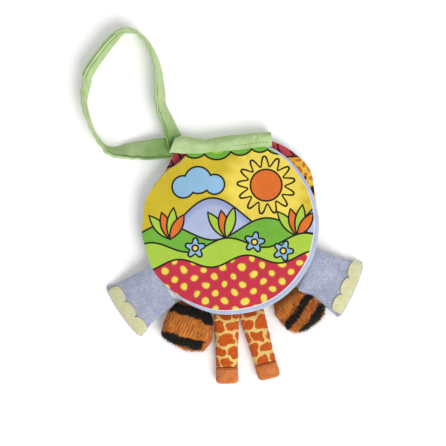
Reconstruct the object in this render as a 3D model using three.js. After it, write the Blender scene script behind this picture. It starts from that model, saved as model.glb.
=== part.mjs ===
// A soft cloth book for babies: three round leaves bound along a straight spine,
// a strap loop at one end of the spine, and a pair of stuffed legs on each leaf.
// Millimetres, +Z up. The origin is the centre of the round leaves, on the surface the book lies on.
// +Y points to the spine and +X along it.
import * as THREE from 'three';

// Leaves
const leafRadius = 75.5;
const leafThickness = 6;
const leafGap = 0.3;
const leafCount = 3;
const clothThickness = 0.6;
const seamGap = 0.3;
const filmThickness = 0.3;
const coverSpineY = 66.2;
const middleSpineY = 71;

// Binding of the spine
const bindingLipY = 67;
const bindingDepth = 12.8;
const bindingRight = 40.2;
const bindingLipLeft = -48;
const bindingFoldLeft = -42;
const bindingCloth = 1.2;
const bindingClearance = 0.3;
const flapDepth = 4;
const flapMargin = 2.5;

// Strap
const strapWidth = 18;
const strapThickness = 1.3;
const strapPadThickness = 0.8;
const strapPadMargin = 2;
const strapClearance = 0.3;
const strapHeight = 9.4;
const tabLength = 50;
const loopWidth = 72;
const loopHeight = 105;

// Legs
const legGap = 0.5;
const legSkin = 0.7;
const stuffingClearance = 0.8;
const leastHalf = 0.12;
const restGap = 0.1;

// Elephant legs
const elephantLength = 42.5;
const elephantFootWidth = 52;
const elephantThickness = 8;
const elephantFootHeight = 3.8;
const elephantRoll = 6;
const toenailDepth = 11;
const toenailThickness = 1;
const toenailGap = 0.4;
const toenailCount = 3;

// Tiger legs
const tigerLength = 38;
const tigerWidth = 41;
const tigerRightWidth = 36;
const tigerThickness = 22;

// Giraffe legs
const giraffeLength = 45.5;
const giraffeRootWidth = 22;
const giraffeThickness = 12;
const hoofLength = 14.5;
const hoofWidth = 19;
const hoofWall = 1;

// Counts
const outlineSteps = 32;
const skinSides = 12;
const strapSteps = 26;
const scallopSteps = 4;
const spineStepShare = 0.125;

// Shapes, as shares of the sizes above
const leafFlatShare = 0.5;
const leafCrownPower = 2.4;
const ringShares = [leafFlatShare, 0.76, 0.9, 1];
const fillRingShares = [leafFlatShare, 0.74, 0.88];
const roundShoulder = 2;
const straightShoulder = 1.8;
const fullShoulder = 2.8;
const cornerReachShare = 0.948;
const cornerFacing = THREE.MathUtils.degToRad(149.4);
const bindingRoundness = 2.8;
const bindingSteps = 10;
const legRoundness = 2.4;
const toenailEndShare = 0.965;
const toenailSpanShare = 0.86;
const scallopValleyShare = 0.62;
const fillingStartShare = 0.1;
const hoofFillingShare = 0.25;

// Heights of the seams in which each leaf's two panels meet
const leafPitch = leafThickness + leafGap;
const backSeam = leafThickness / 2;
const middleSeam = backSeam + leafPitch;
const coverSeam = middleSeam + leafPitch;
const bookHeight = leafCount * leafThickness + (leafCount - 1) * leafGap;
const rimHalf = seamGap / 2 + clothThickness;
const legRootRadius = leafRadius + legGap;

const book = new THREE.Group();

const fabric = (color, roughness = 0.9) => new THREE.MeshStandardMaterial({
  color,
  roughness,
  metalness: 0,
});

const cloth = {
  binding: fabric('#a5d87f'),
  cover: fabric('#d6bc3c'),
  rim: fabric('#c3cde6'),
  page: fabric('#e08a2c'),
  pageBack: fabric('#9cd0e8'),
  back: fabric('#b5d750'),
  wadding: fabric('#f2f0e8'),
  film: fabric('#dfe6ea', 0.3),
  elephant: fabric('#a5adcc'),
  toenail: fabric('#e4e1a8'),
  tiger: fabric('#c8782e'),
  giraffe: fabric('#d4611f'),
  hoof: fabric('#df8748'),
  stuffing: fabric('#f4f3ee'),
  pad: fabric('#9fce7c'),
};

function addPiece(name, geometry, material) {
  const mesh = new THREE.Mesh(geometry, material);
  mesh.name = name;
  book.add(mesh);
  return mesh;
}

// A closed body from rings of points, all with the same number of points.
// The rings run from one end to the other, and each end is closed by a fan on its own middle.
// With closed set, the last ring joins the first one, as on a rim or a tube wall.
function bodyFromRings(rings, { closed = false } = {}) {
  const sides = rings[0].length;
  const points = rings.flat();
  const faces = [];
  const quad = (a, b, c, d) => faces.push(a, b, c, a, c, d);
  const ringPairs = closed ? rings.length : rings.length - 1;
  for (let r = 0; r < ringPairs; r += 1) {
    const low = r * sides;
    const high = ((r + 1) % rings.length) * sides;
    for (let s = 0; s < sides; s += 1) {
      const next = (s + 1) % sides;
      quad(low + s, low + next, high + next, high + s);
    }
  }
  if (!closed) {
    for (const [ring, start] of [[rings[0], 0], [rings.at(-1), (rings.length - 1) * sides]]) {
      const middle = new THREE.Vector3();
      ring.forEach((point) => middle.add(point));
      points.push(middle.divideScalar(sides));
      for (let s = 0; s < sides; s += 1) {
        const next = (s + 1) % sides;
        if (start === 0) faces.push(points.length - 1, start + next, start + s);
        else faces.push(points.length - 1, start + s, start + next);
      }
    }
  }
  const geometry = new THREE.BufferGeometry();
  const numbers = points.flatMap((p) => [p.x, p.y, p.z]);
  geometry.setAttribute('position', new THREE.Float32BufferAttribute(numbers, 3));
  geometry.setIndex(faces);
  geometry.computeVertexNormals();
  return pointingOut(geometry);
}

// The same body with its faces pointing out.
function pointingOut(geometry) {
  const at = geometry.getAttribute('position');
  const index = geometry.getIndex().array;
  const [a, b, c] = [new THREE.Vector3(), new THREE.Vector3(), new THREE.Vector3()];
  let volume = 0;
  for (let i = 0; i < index.length; i += 3) {
    a.fromBufferAttribute(at, index[i]);
    b.fromBufferAttribute(at, index[i + 1]);
    c.fromBufferAttribute(at, index[i + 2]);
    volume += a.dot(b.cross(c));
  }
  if (volume < 0) {
    for (let i = 0; i < index.length; i += 3) {
      [index[i + 1], index[i + 2]] = [index[i + 2], index[i + 1]];
    }
    geometry.computeVertexNormals();
  }
  return geometry;
}

// Outline of a leaf: a circle whose shoulders can be straighter or fuller, cut straight at the spine.
// A wide leaf runs out to its left spine corner along a straight edge, off the centre by cornerReachShare.
function leafOutline({ spineY, leftShoulder, rightShoulder, wideLeft = false }) {
  const reach = (angle) => {
    const above = Math.sin(angle) > 0;
    const shoulder = Math.cos(angle) > 0 ? rightShoulder : leftShoulder;
    const power = above ? shoulder : roundShoulder;
    const spread = Math.abs(Math.cos(angle)) ** power + Math.abs(Math.sin(angle)) ** power;
    const curved = leafRadius / spread ** (1 / power);
    if (!wideLeft || !above || angle < Math.PI / 2 || angle > cornerFacing) return curved;
    return Math.max(curved, leafRadius * cornerReachShare / Math.cos(angle - cornerFacing));
  };
  const cornerAngle = (from, to) => {
    let [low, high] = [from, to];
    for (let i = 0; i < outlineSteps; i += 1) {
      const middle = (low + high) / 2;
      if (reach(middle) * Math.sin(middle) < spineY) low = middle;
      else high = middle;
    }
    return (low + high) / 2;
  };
  const right = cornerAngle(0, Math.PI / 2);
  const left = cornerAngle(Math.PI, Math.PI / 2);
  const spineSteps = Math.round(outlineSteps * spineStepShare);
  const roundSteps = outlineSteps - spineSteps;
  const points = [];
  for (let i = 0; i < roundSteps; i += 1) {
    const angle = left + ((right + 2 * Math.PI - left) * i) / roundSteps;
    points.push(new THREE.Vector2(reach(angle) * Math.cos(angle), reach(angle) * Math.sin(angle)));
  }
  const rightX = spineY / Math.tan(right);
  const leftX = spineY / Math.tan(left);
  for (let i = 0; i < spineSteps; i += 1) {
    points.push(new THREE.Vector2(rightX + ((leftX - rightX) * i) / spineSteps, spineY));
  }
  return points;
}

// Half the leaf's thickness at a share of the way from its middle to its rim.
function leafHalf(share) {
  const past = Math.max(0, (share - leafFlatShare) / (1 - leafFlatShare));
  return rimHalf + (leafThickness / 2 - rimHalf) * (1 - past ** leafCrownPower);
}

const ringAt = (outline, share, z) => outline.map((p) => new THREE.Vector3(p.x * share, p.y * share, z));

// A sheet inside or on a leaf, between two heights that change from its middle to its rim.
function leafSheet(outline, shares, seam, bottom, top) {
  return bodyFromRings([
    ...shares.map((share) => ringAt(outline, share, seam + bottom(share))),
    ...shares.toReversed().map((share) => ringAt(outline, share, seam + top(share))),
  ]);
}

function addLeaf(name, seam, outline, frontCloth, backCloth) {
  const inner = (share) => leafHalf(share) - clothThickness;
  const filmTop = (share) => inner(share) - seamGap;
  const filmBottom = (share) => filmTop(share) - filmThickness;
  addPiece(`${name}_front_panel`, leafSheet(outline, ringShares, seam, inner, leafHalf), frontCloth);
  addPiece(
    `${name}_back_panel`,
    leafSheet(outline, ringShares, seam, (share) => -leafHalf(share), (share) => -inner(share)),
    backCloth,
  );
  addPiece(
    `${name}_crinkle_film`,
    leafSheet(outline, fillRingShares, seam, filmBottom, filmTop),
    cloth.film,
  );
  addPiece(
    `${name}_wadding`,
    leafSheet(
      outline,
      fillRingShares,
      seam,
      (share) => -filmTop(share),
      (share) => filmBottom(share) - seamGap,
    ),
    cloth.wadding,
  );
}

const coverOutline = leafOutline({
  spineY: coverSpineY,
  leftShoulder: straightShoulder,
  rightShoulder: roundShoulder,
});
const middleOutline = leafOutline({
  spineY: middleSpineY,
  leftShoulder: straightShoulder,
  rightShoulder: fullShoulder,
  wideLeft: true,
});
addLeaf('back', backSeam, coverOutline, cloth.pageBack, cloth.back);
addLeaf('middle', middleSeam, middleOutline, cloth.page, cloth.pageBack);
addLeaf('cover', coverSeam, coverOutline, cloth.cover, cloth.rim);

// The binding: cloth folded round the spine edges, open towards the leaves.
const flapHalf = clothThickness;
const bindingHalfHeight = leafPitch + flapHalf + bindingClearance + bindingCloth;
const bindingLeftAt = (y) => (
  bindingLipLeft + ((bindingFoldLeft - bindingLipLeft) * (y - bindingLipY)) / bindingDepth
);

// One step round the fold, as a section across the cloth from the left end to the right end.
function bindingSection(step) {
  const angle = -Math.PI / 2 + (Math.PI * step) / bindingSteps;
  const back = Math.abs(Math.cos(angle)) ** (2 / bindingRoundness);
  const up = Math.sign(Math.sin(angle)) * Math.abs(Math.sin(angle)) ** (2 / bindingRoundness);
  const at = (inset, rightEnd) => {
    const y = bindingLipY + (bindingDepth - inset) * back;
    const z = middleSeam + (bindingHalfHeight - inset) * up;
    return new THREE.Vector3(rightEnd ? bindingRight : bindingLeftAt(y), y, z);
  };
  return [at(0, false), at(0, true), at(bindingCloth, true), at(bindingCloth, false)];
}

addPiece(
  'spine_binding',
  bodyFromRings(Array.from({ length: bindingSteps + 1 }, (_, step) => bindingSection(step))),
  cloth.binding,
);

// The spine edges of the cover and the back cover, sewn inside the binding.
function spineFlap(seam) {
  const start = coverSpineY + seamGap;
  const shape = new THREE.BoxGeometry(
    bindingRight - bindingFoldLeft - 2 * flapMargin,
    flapDepth,
    2 * flapHalf,
  );
  shape.translate((bindingRight + bindingFoldLeft) / 2, start + flapDepth / 2, seam);
  return shape;
}

addPiece('cover_spine_flap', spineFlap(coverSeam), cloth.rim);
addPiece('back_spine_flap', spineFlap(backSeam), cloth.back);

// Legs. Each one leaves a leaf's rim at rootAngle and runs along heading, both in degrees from +X.
// The rows of its profile are shares: how far along, how wide, how thick, and how far from the height
// of the seam to the height at which it rests.
const elephantProfileShares = [
  [0, 0.73, 0.18, 0],
  [0.12, 0.74, 0.62, 0.1],
  [0.35, 0.78, 0.92, 0.33],
  [0.65, 0.86, 1, 0.66],
  [0.85, 0.95, 0.95, 0.88],
  [0.95, 1, 0.66, 0.97],
  [1, 0.86, 0.3, 1],
];
const tigerProfileShares = [
  [0, 0.66, 0.07, 0],
  [0.14, 0.78, 0.5, 0.42],
  [0.34, 0.93, 0.86, 0.84],
  [0.58, 1, 1, 1],
  [0.8, 0.9, 0.86, 0.95],
  [0.94, 0.64, 0.58, 0.86],
  [1, 0.28, 0.24, 0.8],
];
const giraffeProfileShares = [
  [0, 1, 0.13, 0],
  [0.14, 1, 0.66, 0.3],
  [0.36, 0.97, 0.94, 0.75],
  [0.68, 0.9, 1, 1],
  [1, 0.86, 0.96, 1],
];
const hoofProfileShares = [
  [0, 0.96, 0.96, 1],
  [0.3, 1, 1, 1],
  [0.7, 1, 0.98, 1],
  [0.93, 0.9, 0.8, 0.97],
  [1, 0.66, 0.5, 0.94],
];

const pairs = {
  elephant: {
    seam: coverSeam,
    restHeight: elephantFootHeight,
    length: elephantLength,
    thickness: elephantThickness,
    shares: elephantProfileShares,
    material: cloth.elephant,
    sides: {
      left: { rootAngle: 217.2, heading: 211.5, width: elephantFootWidth, roll: elephantRoll },
      right: { rootAngle: -33.2, heading: -28.5, width: elephantFootWidth, roll: -elephantRoll },
    },
  },
  tiger: {
    seam: backSeam,
    restHeight: tigerThickness / 2 + restGap,
    length: tigerLength,
    thickness: tigerThickness,
    shares: tigerProfileShares,
    material: cloth.tiger,
    sides: {
      left: { rootAngle: 243.8, heading: 242.6, width: tigerWidth, roll: 0 },
      right: { rootAngle: -55.5, heading: -55.5, width: tigerRightWidth, roll: 0 },
    },
  },
  giraffe: {
    seam: middleSeam,
    restHeight: giraffeThickness / 2 + restGap,
    length: giraffeLength,
    thickness: giraffeThickness,
    shares: giraffeProfileShares,
    material: cloth.giraffe,
    sides: {
      left: { rootAngle: 263.9, heading: 267.2, width: giraffeRootWidth, roll: 0 },
      right: { rootAngle: -79.7, heading: -79.7, width: giraffeRootWidth, roll: 0 },
    },
  },
};

// Sections of a leg from its root to its tip, each set in by a wall.
function legSections(leg, { wall = 0, tipWall = 0, from = 0 }) {
  const root = THREE.MathUtils.degToRad(leg.rootAngle);
  const heading = THREE.MathUtils.degToRad(leg.heading);
  const start = new THREE.Vector3(legRootRadius * Math.cos(root), legRootRadius * Math.sin(root), leg.seam);
  const along = new THREE.Vector3(Math.cos(heading), Math.sin(heading), 0);
  const across = new THREE.Vector3(-Math.sin(heading), Math.cos(heading), 0);
  const tilt = Math.tan(THREE.MathUtils.degToRad(leg.roll));
  const rows = leg.shares.filter(([share]) => share >= from);
  return rows.map(([share, wide, thick, down]) => {
    const distance = leg.offset + share * (leg.length - tipWall);
    const halfWidth = (leg.width * wide) / 2 - wall;
    const halfThickness = Math.max((leg.thickness * thick) / 2 - wall, leastHalf);
    const middle = start.clone().addScaledVector(along, distance);
    middle.z += (leg.restHeight - leg.seam) * down;
    return Array.from({ length: skinSides }, (_, side) => {
      const angle = (2 * Math.PI * (side + 1 / 2)) / skinSides;
      const round = (value) => Math.sign(value) * Math.abs(value) ** (2 / legRoundness);
      const sideways = halfWidth * round(Math.cos(angle));
      const point = middle.clone().addScaledVector(across, sideways);
      point.z += halfThickness * round(Math.sin(angle)) + sideways * tilt * down;
      return point;
    });
  });
}

// A sewn skin, open at its root so that its filling meets the seam.
function skin(leg, wall, openTip = false) {
  const outside = legSections(leg, {});
  const inside = legSections(leg, { wall, tipWall: openTip ? 0 : wall });
  if (openTip) return bodyFromRings([...outside, ...inside.toReversed()], { closed: true });
  return bodyFromRings([...inside.toReversed(), ...outside]);
}

// Filling with a clearance to its skin, from a share of the leg's length on.
const filling = (leg, wall, from) => legSections(leg, {
  wall: wall + stuffingClearance,
  tipWall: wall + stuffingClearance,
  from,
});

// Height of the top of a leg above a place that is a share along it and sideways of its middle line.
function legTop(leg, share, sideways) {
  const next = Math.max(leg.shares.findIndex(([at]) => at >= share), 1);
  const [low, high] = [leg.shares[next - 1], leg.shares[next]];
  const part = (share - low[0]) / (high[0] - low[0]);
  const [wide, thick, down] = [1, 2, 3].map((row) => low[row] + (high[row] - low[row]) * part);
  const across = Math.min(Math.abs(sideways) / ((leg.width * wide) / 2), 1);
  const rise = ((leg.thickness * thick) / 2) * (1 - across ** legRoundness) ** (1 / legRoundness);
  const tilt = Math.tan(THREE.MathUtils.degToRad(leg.roll));
  return leg.seam + (leg.restHeight - leg.seam) * down + rise + sideways * tilt * down;
}

// Felt toenails: a strip along the end of the foot with a round scallop for each nail.
function toenails(leg) {
  const heading = THREE.MathUtils.degToRad(leg.heading);
  const root = THREE.MathUtils.degToRad(leg.rootAngle);
  const start = new THREE.Vector3(legRootRadius * Math.cos(root), legRootRadius * Math.sin(root), 0);
  const along = new THREE.Vector3(Math.cos(heading), Math.sin(heading), 0);
  const across = new THREE.Vector3(-Math.sin(heading), Math.cos(heading), 0);
  const end = leg.length * toenailEndShare;
  const half = (leg.width / 2) * toenailSpanShare;
  const steps = toenailCount * scallopSteps;
  const rings = [];
  for (let i = 0; i <= steps; i += 1) {
    const sideways = -half + (2 * half * i) / steps;
    const phase = ((i % scallopSteps) / scallopSteps) * 2 - 1;
    const depth = toenailDepth * (scallopValleyShare + (1 - scallopValleyShare) * Math.sqrt(1 - phase ** 2));
    const place = (part, lift) => {
      const distance = end - depth * part;
      const point = start.clone().addScaledVector(along, distance).addScaledVector(across, sideways);
      point.z = legTop(leg, distance / leg.length, sideways) + lift;
      return point;
    };
    const under = toenailGap;
    const over = toenailGap + toenailThickness;
    rings.push([
      ...[0, 1 / 2, 1].map((part) => place(part, under)),
      ...[1, 1 / 2, 0].map((part) => place(part, over)),
    ]);
  }
  return bodyFromRings(rings);
}

for (const [animal, pair] of Object.entries(pairs)) {
  for (const [side, own] of Object.entries(pair.sides)) {
    const leg = { ...pair, ...own, offset: 0 };
    const name = `${animal}_leg_${side}`;
    if (animal === 'giraffe') {
      const hoof = {
        ...leg,
        shares: hoofProfileShares,
        offset: leg.length + seamGap,
        length: hoofLength,
        width: hoofWidth,
      };
      addPiece(name, skin(leg, legSkin, true), leg.material);
      addPiece(`giraffe_hoof_${side}`, skin(hoof, hoofWall), cloth.hoof);
      const legPart = filling(leg, legSkin, fillingStartShare);
      const hoofPart = filling(hoof, hoofWall, hoofFillingShare);
      addPiece(`${name}_stuffing`, bodyFromRings([...legPart, ...hoofPart]), cloth.stuffing);
    } else {
      addPiece(name, skin(leg, legSkin), leg.material);
      addPiece(`${name}_stuffing`, bodyFromRings(filling(leg, legSkin, fillingStartShare)), cloth.stuffing);
    }
    if (animal === 'elephant') addPiece(`elephant_toenails_${side}`, toenails(leg), cloth.toenail);
  }
}

// Strap. Each row of a route is a place and a tilt: how far left of the binding's end as a share of the
// loop's width, how far above the binding's lip as a share of its height, and degrees from lying flat.
const lowerRouteShares = [
  [-0.015, 0.031, 0],
  [0.132, 0.031, 2],
  [0.279, 0.028, 12],
  [0.496, 0.03, 40],
  [0.686, 0.037, 64],
  [0.779, 0.074, 76],
  [0.856, 0.16, 80],
  [0.918, 0.261, 82],
  [0.965, 0.386, 83],
  [0.978, 0.464, 81],
  [0.95, 0.556, 76],
  [0.903, 0.667, 74],
  [0.743, 0.814, 74],
  [0.6, 0.925, 76],
  [0.52, 0.97, 79],
  [0.458, 0.984, 82],
];
const upperRouteShares = [
  [-0.046, 0.139, 36],
  [-0.032, 0.181, 42],
  [0.01, 0.28, 54],
  [0.071, 0.405, 62],
  [0.064, 0.511, 66],
  [0.077, 0.676, 74],
  [0.125, 0.835, 79],
  [0.247, 0.966, 85],
  [0.335, 1.005, 90],
];

const loopPlace = ([left, up]) => new THREE.Vector3(
  bindingLipLeft - loopWidth * left,
  bindingLipY + loopHeight * up,
  strapHeight,
);

// A station on the strap: its place, and the directions of its width and of its thickness.
function strapStation(place, heading, tilt) {
  const side = new THREE.Vector3(-heading.y, heading.x, 0);
  const up = new THREE.Vector3(0, 0, 1);
  const width = side.clone().multiplyScalar(Math.cos(tilt)).addScaledVector(up, Math.sin(tilt));
  const normal = heading.clone().cross(width);
  return { place, heading, width, normal };
}

function stationsAlong(places, tilts, steps) {
  const curve = new THREE.CatmullRomCurve3(places, false, 'centripetal');
  return Array.from({ length: steps + 1 }, (_, i) => {
    const share = i / steps;
    const at = curve.getUtoTmapping(share) * (tilts.length - 1);
    const row = Math.min(Math.floor(at), tilts.length - 2);
    const tilt = THREE.MathUtils.degToRad(tilts[row] + (tilts[row + 1] - tilts[row]) * (at - row));
    const heading = curve.getTangentAt(share).setZ(0).normalize();
    return strapStation(curve.getPointAt(share), heading, tilt);
  });
}

// A flat ribbon along stations, set off along their thickness.
function ribbon(stations, { width = strapWidth, thickness = strapThickness, offset = 0 } = {}) {
  return bodyFromRings(stations.map((station) => {
    const corner = (w, n) => station.place.clone()
      .addScaledVector(station.width, (width / 2) * w)
      .addScaledVector(station.normal, offset + (thickness / 2) * n);
    return [corner(-1, -1), corner(1, -1), corner(1, 1), corner(-1, 1)];
  }));
}

const lowerPlaces = lowerRouteShares.map(loopPlace);
const lowerLength = new THREE.CatmullRomCurve3(lowerPlaces, false, 'centripetal').getLength();
const lowerStations = stationsAlong(lowerPlaces, lowerRouteShares.map((row) => row[2]), strapSteps);
const stepLength = lowerLength / strapSteps;
const overlapSteps = Math.round(tabLength / stepLength);
const overlap = lowerStations.slice(-overlapSteps - 1);
const tabOffset = -(strapThickness + 2 * strapPadThickness + 3 * strapClearance);

// The start of the lower half is cut along the binding's slanted end.
const slant = (bindingFoldLeft - bindingLipLeft) / bindingDepth;
lowerStations[0].width.addScaledVector(lowerStations[0].heading, slant);

const tabStart = overlap.at(-1).place.clone().addScaledVector(overlap.at(-1).normal, tabOffset);
const upperEnd = tabStart.clone().addScaledVector(overlap.at(-1).heading, strapClearance);
const upperPlaces = [...upperRouteShares.map(loopPlace), upperEnd];
const upperTilts = [...upperRouteShares.map((row) => row[2]), 180 - lowerRouteShares.at(-1)[2]];
const upperStations = stationsAlong(upperPlaces, upperTilts, strapSteps);

// The upper half ends square to the tab that it carries.
upperStations.at(-1).width = overlap.at(-1).width;
upperStations.at(-1).normal = overlap.at(-1).normal.clone().negate();

const padStations = overlap.slice(1, -1);
const padWidth = strapWidth - 2 * strapPadMargin;
const loopPadOffset = -(strapThickness + strapPadThickness) / 2 - strapClearance;
const hookPadOffset = loopPadOffset - strapPadThickness - strapClearance;
const pad = { width: padWidth, thickness: strapPadThickness };
addPiece('strap_lower', ribbon(lowerStations), cloth.binding);
addPiece('strap_upper', ribbon(upperStations), cloth.binding);
addPiece('strap_tab', ribbon(overlap, { offset: tabOffset }), cloth.binding);
addPiece('loop_pad', ribbon(padStations, { ...pad, offset: loopPadOffset }), cloth.pad);
addPiece('hook_pad', ribbon(padStations, { ...pad, offset: hookPadOffset }), cloth.pad);

export default book;
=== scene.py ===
import math
import random

import bmesh
import bpy
from mathutils import Matrix, Vector, noise


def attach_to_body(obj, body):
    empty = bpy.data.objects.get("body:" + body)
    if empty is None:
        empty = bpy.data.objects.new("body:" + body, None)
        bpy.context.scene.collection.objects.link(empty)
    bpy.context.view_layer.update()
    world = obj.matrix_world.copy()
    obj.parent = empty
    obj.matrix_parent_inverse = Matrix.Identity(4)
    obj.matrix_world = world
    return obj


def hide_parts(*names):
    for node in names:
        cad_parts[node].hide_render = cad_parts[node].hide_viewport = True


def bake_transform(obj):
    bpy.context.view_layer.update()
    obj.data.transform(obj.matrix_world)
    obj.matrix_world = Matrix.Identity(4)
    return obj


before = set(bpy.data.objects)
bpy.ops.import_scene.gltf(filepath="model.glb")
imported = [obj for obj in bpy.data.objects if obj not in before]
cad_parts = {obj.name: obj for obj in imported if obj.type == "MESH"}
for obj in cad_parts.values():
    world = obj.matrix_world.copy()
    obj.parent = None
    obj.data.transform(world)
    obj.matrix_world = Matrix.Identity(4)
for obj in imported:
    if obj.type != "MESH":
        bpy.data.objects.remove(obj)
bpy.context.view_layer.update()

metresPerMm = 0.001
print("frame loaded")

# camera, straight above the book and turned so that the book lies as in the photograph
camera = {
    "picturePixels": 446,
    "mmPerPixel": 0.862,
    "aim": (-5.9, 3.0, 9.0),  # mm
    "height": 1300.0,  # mm above the aim
    "turn": -3.6,  # degrees
    "sensor": 36.0,
}


def makeCamera(spec):
    data = bpy.data.cameras.new("bookCamera")
    data.sensor_width = spec["sensor"]
    data.lens = spec["sensor"] * spec["height"] / (spec["picturePixels"] * spec["mmPerPixel"])
    data.clip_end = 20
    lookout = bpy.data.objects.new("bookCamera", data)
    lookout.location = (Vector(spec["aim"]) + Vector((0, 0, spec["height"]))) * metresPerMm
    lookout.rotation_euler = (0, 0, math.radians(spec["turn"]))
    bpy.context.scene.collection.objects.link(lookout)
    bpy.context.scene.camera = lookout


makeCamera(camera)


# colours are written as they look on a screen, from 0 to 255
def colour(red, green, blue):
    def linear(value):
        value /= 255
        return value / 12.92 if value <= 0.04045 else ((value + 0.055) / 1.055) ** 2.4

    return (linear(red), linear(green), linear(blue), 1.0)


# a Wire holds one socket, and a sum on Wires adds its Math nodes
class Wire:
    def __init__(self, tree, socket=None):
        self.tree = tree
        self.socket = socket

    def node(self, kind, settings=None, inputs=None, output=0):
        made = self.tree.nodes.new(kind)
        for key, value in (settings or {}).items():
            setattr(made, key, value)
        for key, value in (inputs or {}).items():
            if isinstance(value, Wire):
                self.tree.links.new(value.socket, made.inputs[key])
            else:
                made.inputs[key].default_value = value
        return Wire(self.tree, made.outputs[output])

    def maths(self, operation, *values):
        return self.node("ShaderNodeMath", {"operation": operation}, dict(enumerate(values)))

    def __add__(self, other):
        return self.maths("ADD", self, other)

    def __radd__(self, other):
        return self.maths("ADD", other, self)

    def __sub__(self, other):
        return self.maths("SUBTRACT", self, other)

    def __rsub__(self, other):
        return self.maths("SUBTRACT", other, self)

    def __mul__(self, other):
        return self.maths("MULTIPLY", self, other)

    def __rmul__(self, other):
        return self.maths("MULTIPLY", other, self)

    def __truediv__(self, other):
        return self.maths("DIVIDE", self, other)

    def sine(self):
        return self.maths("SINE", self)

    def size(self):
        return self.maths("ABSOLUTE", self)

    def least(self, other):
        return self.maths("MINIMUM", self, other)

    def most(self, other):
        return self.maths("MAXIMUM", self, other)

    def wrap(self, span):
        return self.maths("WRAP", self, span / 2, -span / 2)

    def ease(self, low, high, lowValue=0.0, highValue=1.0):
        inputs = {"Value": self, "From Min": low, "From Max": high, "To Min": lowValue, "To Max": highValue}
        return self.node("ShaderNodeMapRange", {"interpolation_type": "SMOOTHSTEP"}, inputs)

    def under(self, edge, soft=0.12):
        return self.ease(edge - soft, edge + soft, 1.0, 0.0)

    # from the first colour to the second, by this value
    def mixed(self, first, second):
        return self.node("ShaderNodeMix", {"data_type": "RGBA"}, {"Factor": self, 6: first, 7: second}, 2)

    # this colour times another
    def times(self, shade):
        settings = {"data_type": "RGBA", "blend_type": "MULTIPLY"}
        return self.node("ShaderNodeMix", settings, {"Factor": 1.0, 6: self, 7: shade}, 2)


uvMm = 100.0  # mm in one unit of a piece's flat coordinates


def firstTwo(wire, vector):
    return [wire.node("ShaderNodeSeparateXYZ", None, {0: vector}, output) for output in (0, 1)]


# mm on the flat cloth
def flatPlace(wire, mapName="cloth"):
    first, second = firstTwo(wire, wire.node("ShaderNodeUVMap", {"uv_map": mapName}))
    return first * uvMm, second * uvMm


# mm in the object's own space
def spacePlace(wire):
    place = wire.node("ShaderNodeTexCoord", None, None, "Object")
    return wire.node("ShaderNodeVectorMath", {"operation": "SCALE"}, {0: place, "Scale": 1 / metresPerMm})


def speckle(wire, place, scale, detail=2.0, roughness=0.55):
    inputs = {"Vector": place, "Scale": scale, "Detail": detail, "Roughness": roughness}
    return wire.node("ShaderNodeTexNoise", None, inputs)


def bump(wire, height, strength, mm):
    inputs = {"Height": height, "Strength": strength, "Distance": mm * metresPerMm}
    return wire.node("ShaderNodeBump", None, inputs)


def makeMaterial(name, look):
    material = bpy.data.materials.new(name)
    material.use_nodes = True
    tree = material.node_tree
    shader = tree.nodes["Principled BSDF"]
    for key, value in look(Wire(tree)).items():
        if isinstance(value, Wire):
            tree.links.new(value.socket, shader.inputs[key])
        else:
            shader.inputs[key].default_value = value
    return material


weavePitch = 0.5  # mm from thread to thread


# woven cotton: threads, slubs, soft creases, and the print or the plain dye that paint gives
def cottonLook(paint, crease, stitchRows=()):
    def look(wire):
        x, y = flatPlace(wire)
        place = spacePlace(wire)
        turns = 2 * math.pi / weavePitch
        threads = (x * turns).sine() * (y * turns).sine()
        slub = speckle(wire, place, 1.3, 3.0)
        cloudy = speckle(wire, place, 0.045, 3.0)
        creases = speckle(wire, place, 0.13, 3.0, 0.6)
        height = threads * 0.03 + slub * 0.12 + creases * crease
        grey = (slub * 0.6 + cloudy * 0.4 + threads * 0.05).ease(0.25, 0.7)
        worn = grey.mixed(colour(226, 226, 228), colour(255, 255, 255))
        cloth = paint(wire, x, y).times(worn)
        for row, spacing, shade in stitchRows:
            aside = (y - row - (x * 0.45).sine() * 0.3).size()
            dash = aside.under(0.45, 0.2) * x.wrap(spacing).size().under(spacing * 0.36, 0.25)
            height = height + dash * 0.45 - aside.under(1.1, 0.7) * 0.45
            # the cloth beside each stitch row is darkened towards the row's colour: painted shade in the sewn
            # furrow, with the thread's own darker dashes
            cloth = (aside.under(0.85, 0.6) * (0.62 + dash * 0.3)).mixed(cloth, shade)
        return {
            "Base Color": cloth,
            "Roughness": 0.9,
            "Specular IOR Level": 0.25,
            "Sheen Weight": 0.12,
            "Sheen Roughness": 0.5,
            "Normal": bump(wire, height, 0.8, 0.8),
        }

    return look


def dyed(shade, deep):
    def paint(wire, x, y):
        return speckle(wire, spacePlace(wire), 0.06, 3.0).ease(0.32, 0.68).mixed(shade, deep)

    return paint


# the strap's green, darkened by painted shade where it leaves the binding, standing in for the binding's
# shadow
def strapGreenWithPaintedShade(wire, x, y):
    place = spacePlace(wire)
    across, up = firstTwo(wire, place)
    wander = (speckle(wire, place, 0.1, 3.0) - 0.5) * 16
    fromBinding = length2(across + 48, up - 67) + wander
    green = dyed(colour(196, 218, 164), colour(180, 206, 142))(wire, x, y)
    # painted shade: the green goes darker within about 36 mm of the binding
    return fromBinding.ease(8.0, 36.0, 0.8, 0.0).mixed(green, colour(108, 152, 70))


print("shader kit ready")

# prints: every picture is laid up from its back to its front, each form with a drawn line round it
ink = colour(30, 27, 24)
lineWidth = 1.55  # mm


def layOn(picture, distance, fill, line=lineWidth):
    inked = distance.under(line / 2).mixed(picture, ink)
    return distance.under(-line / 2).mixed(inked, fill)


def rooted(value):
    return value.maths("SQRT", value)


def length2(dx, dy):
    return rooted(dx * dx + dy * dy)


# a distance to an edge that waves by depth, made even along the wave
def waved(distance, phase, depth, steepness):
    slope = (phase + math.pi / 2).sine() * steepness
    return (distance - phase.sine() * depth) / rooted(slope * slope + 1.0)


def circleAt(x, y, centre, radius):
    return length2(x - centre[0], y - centre[1]) - radius


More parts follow.
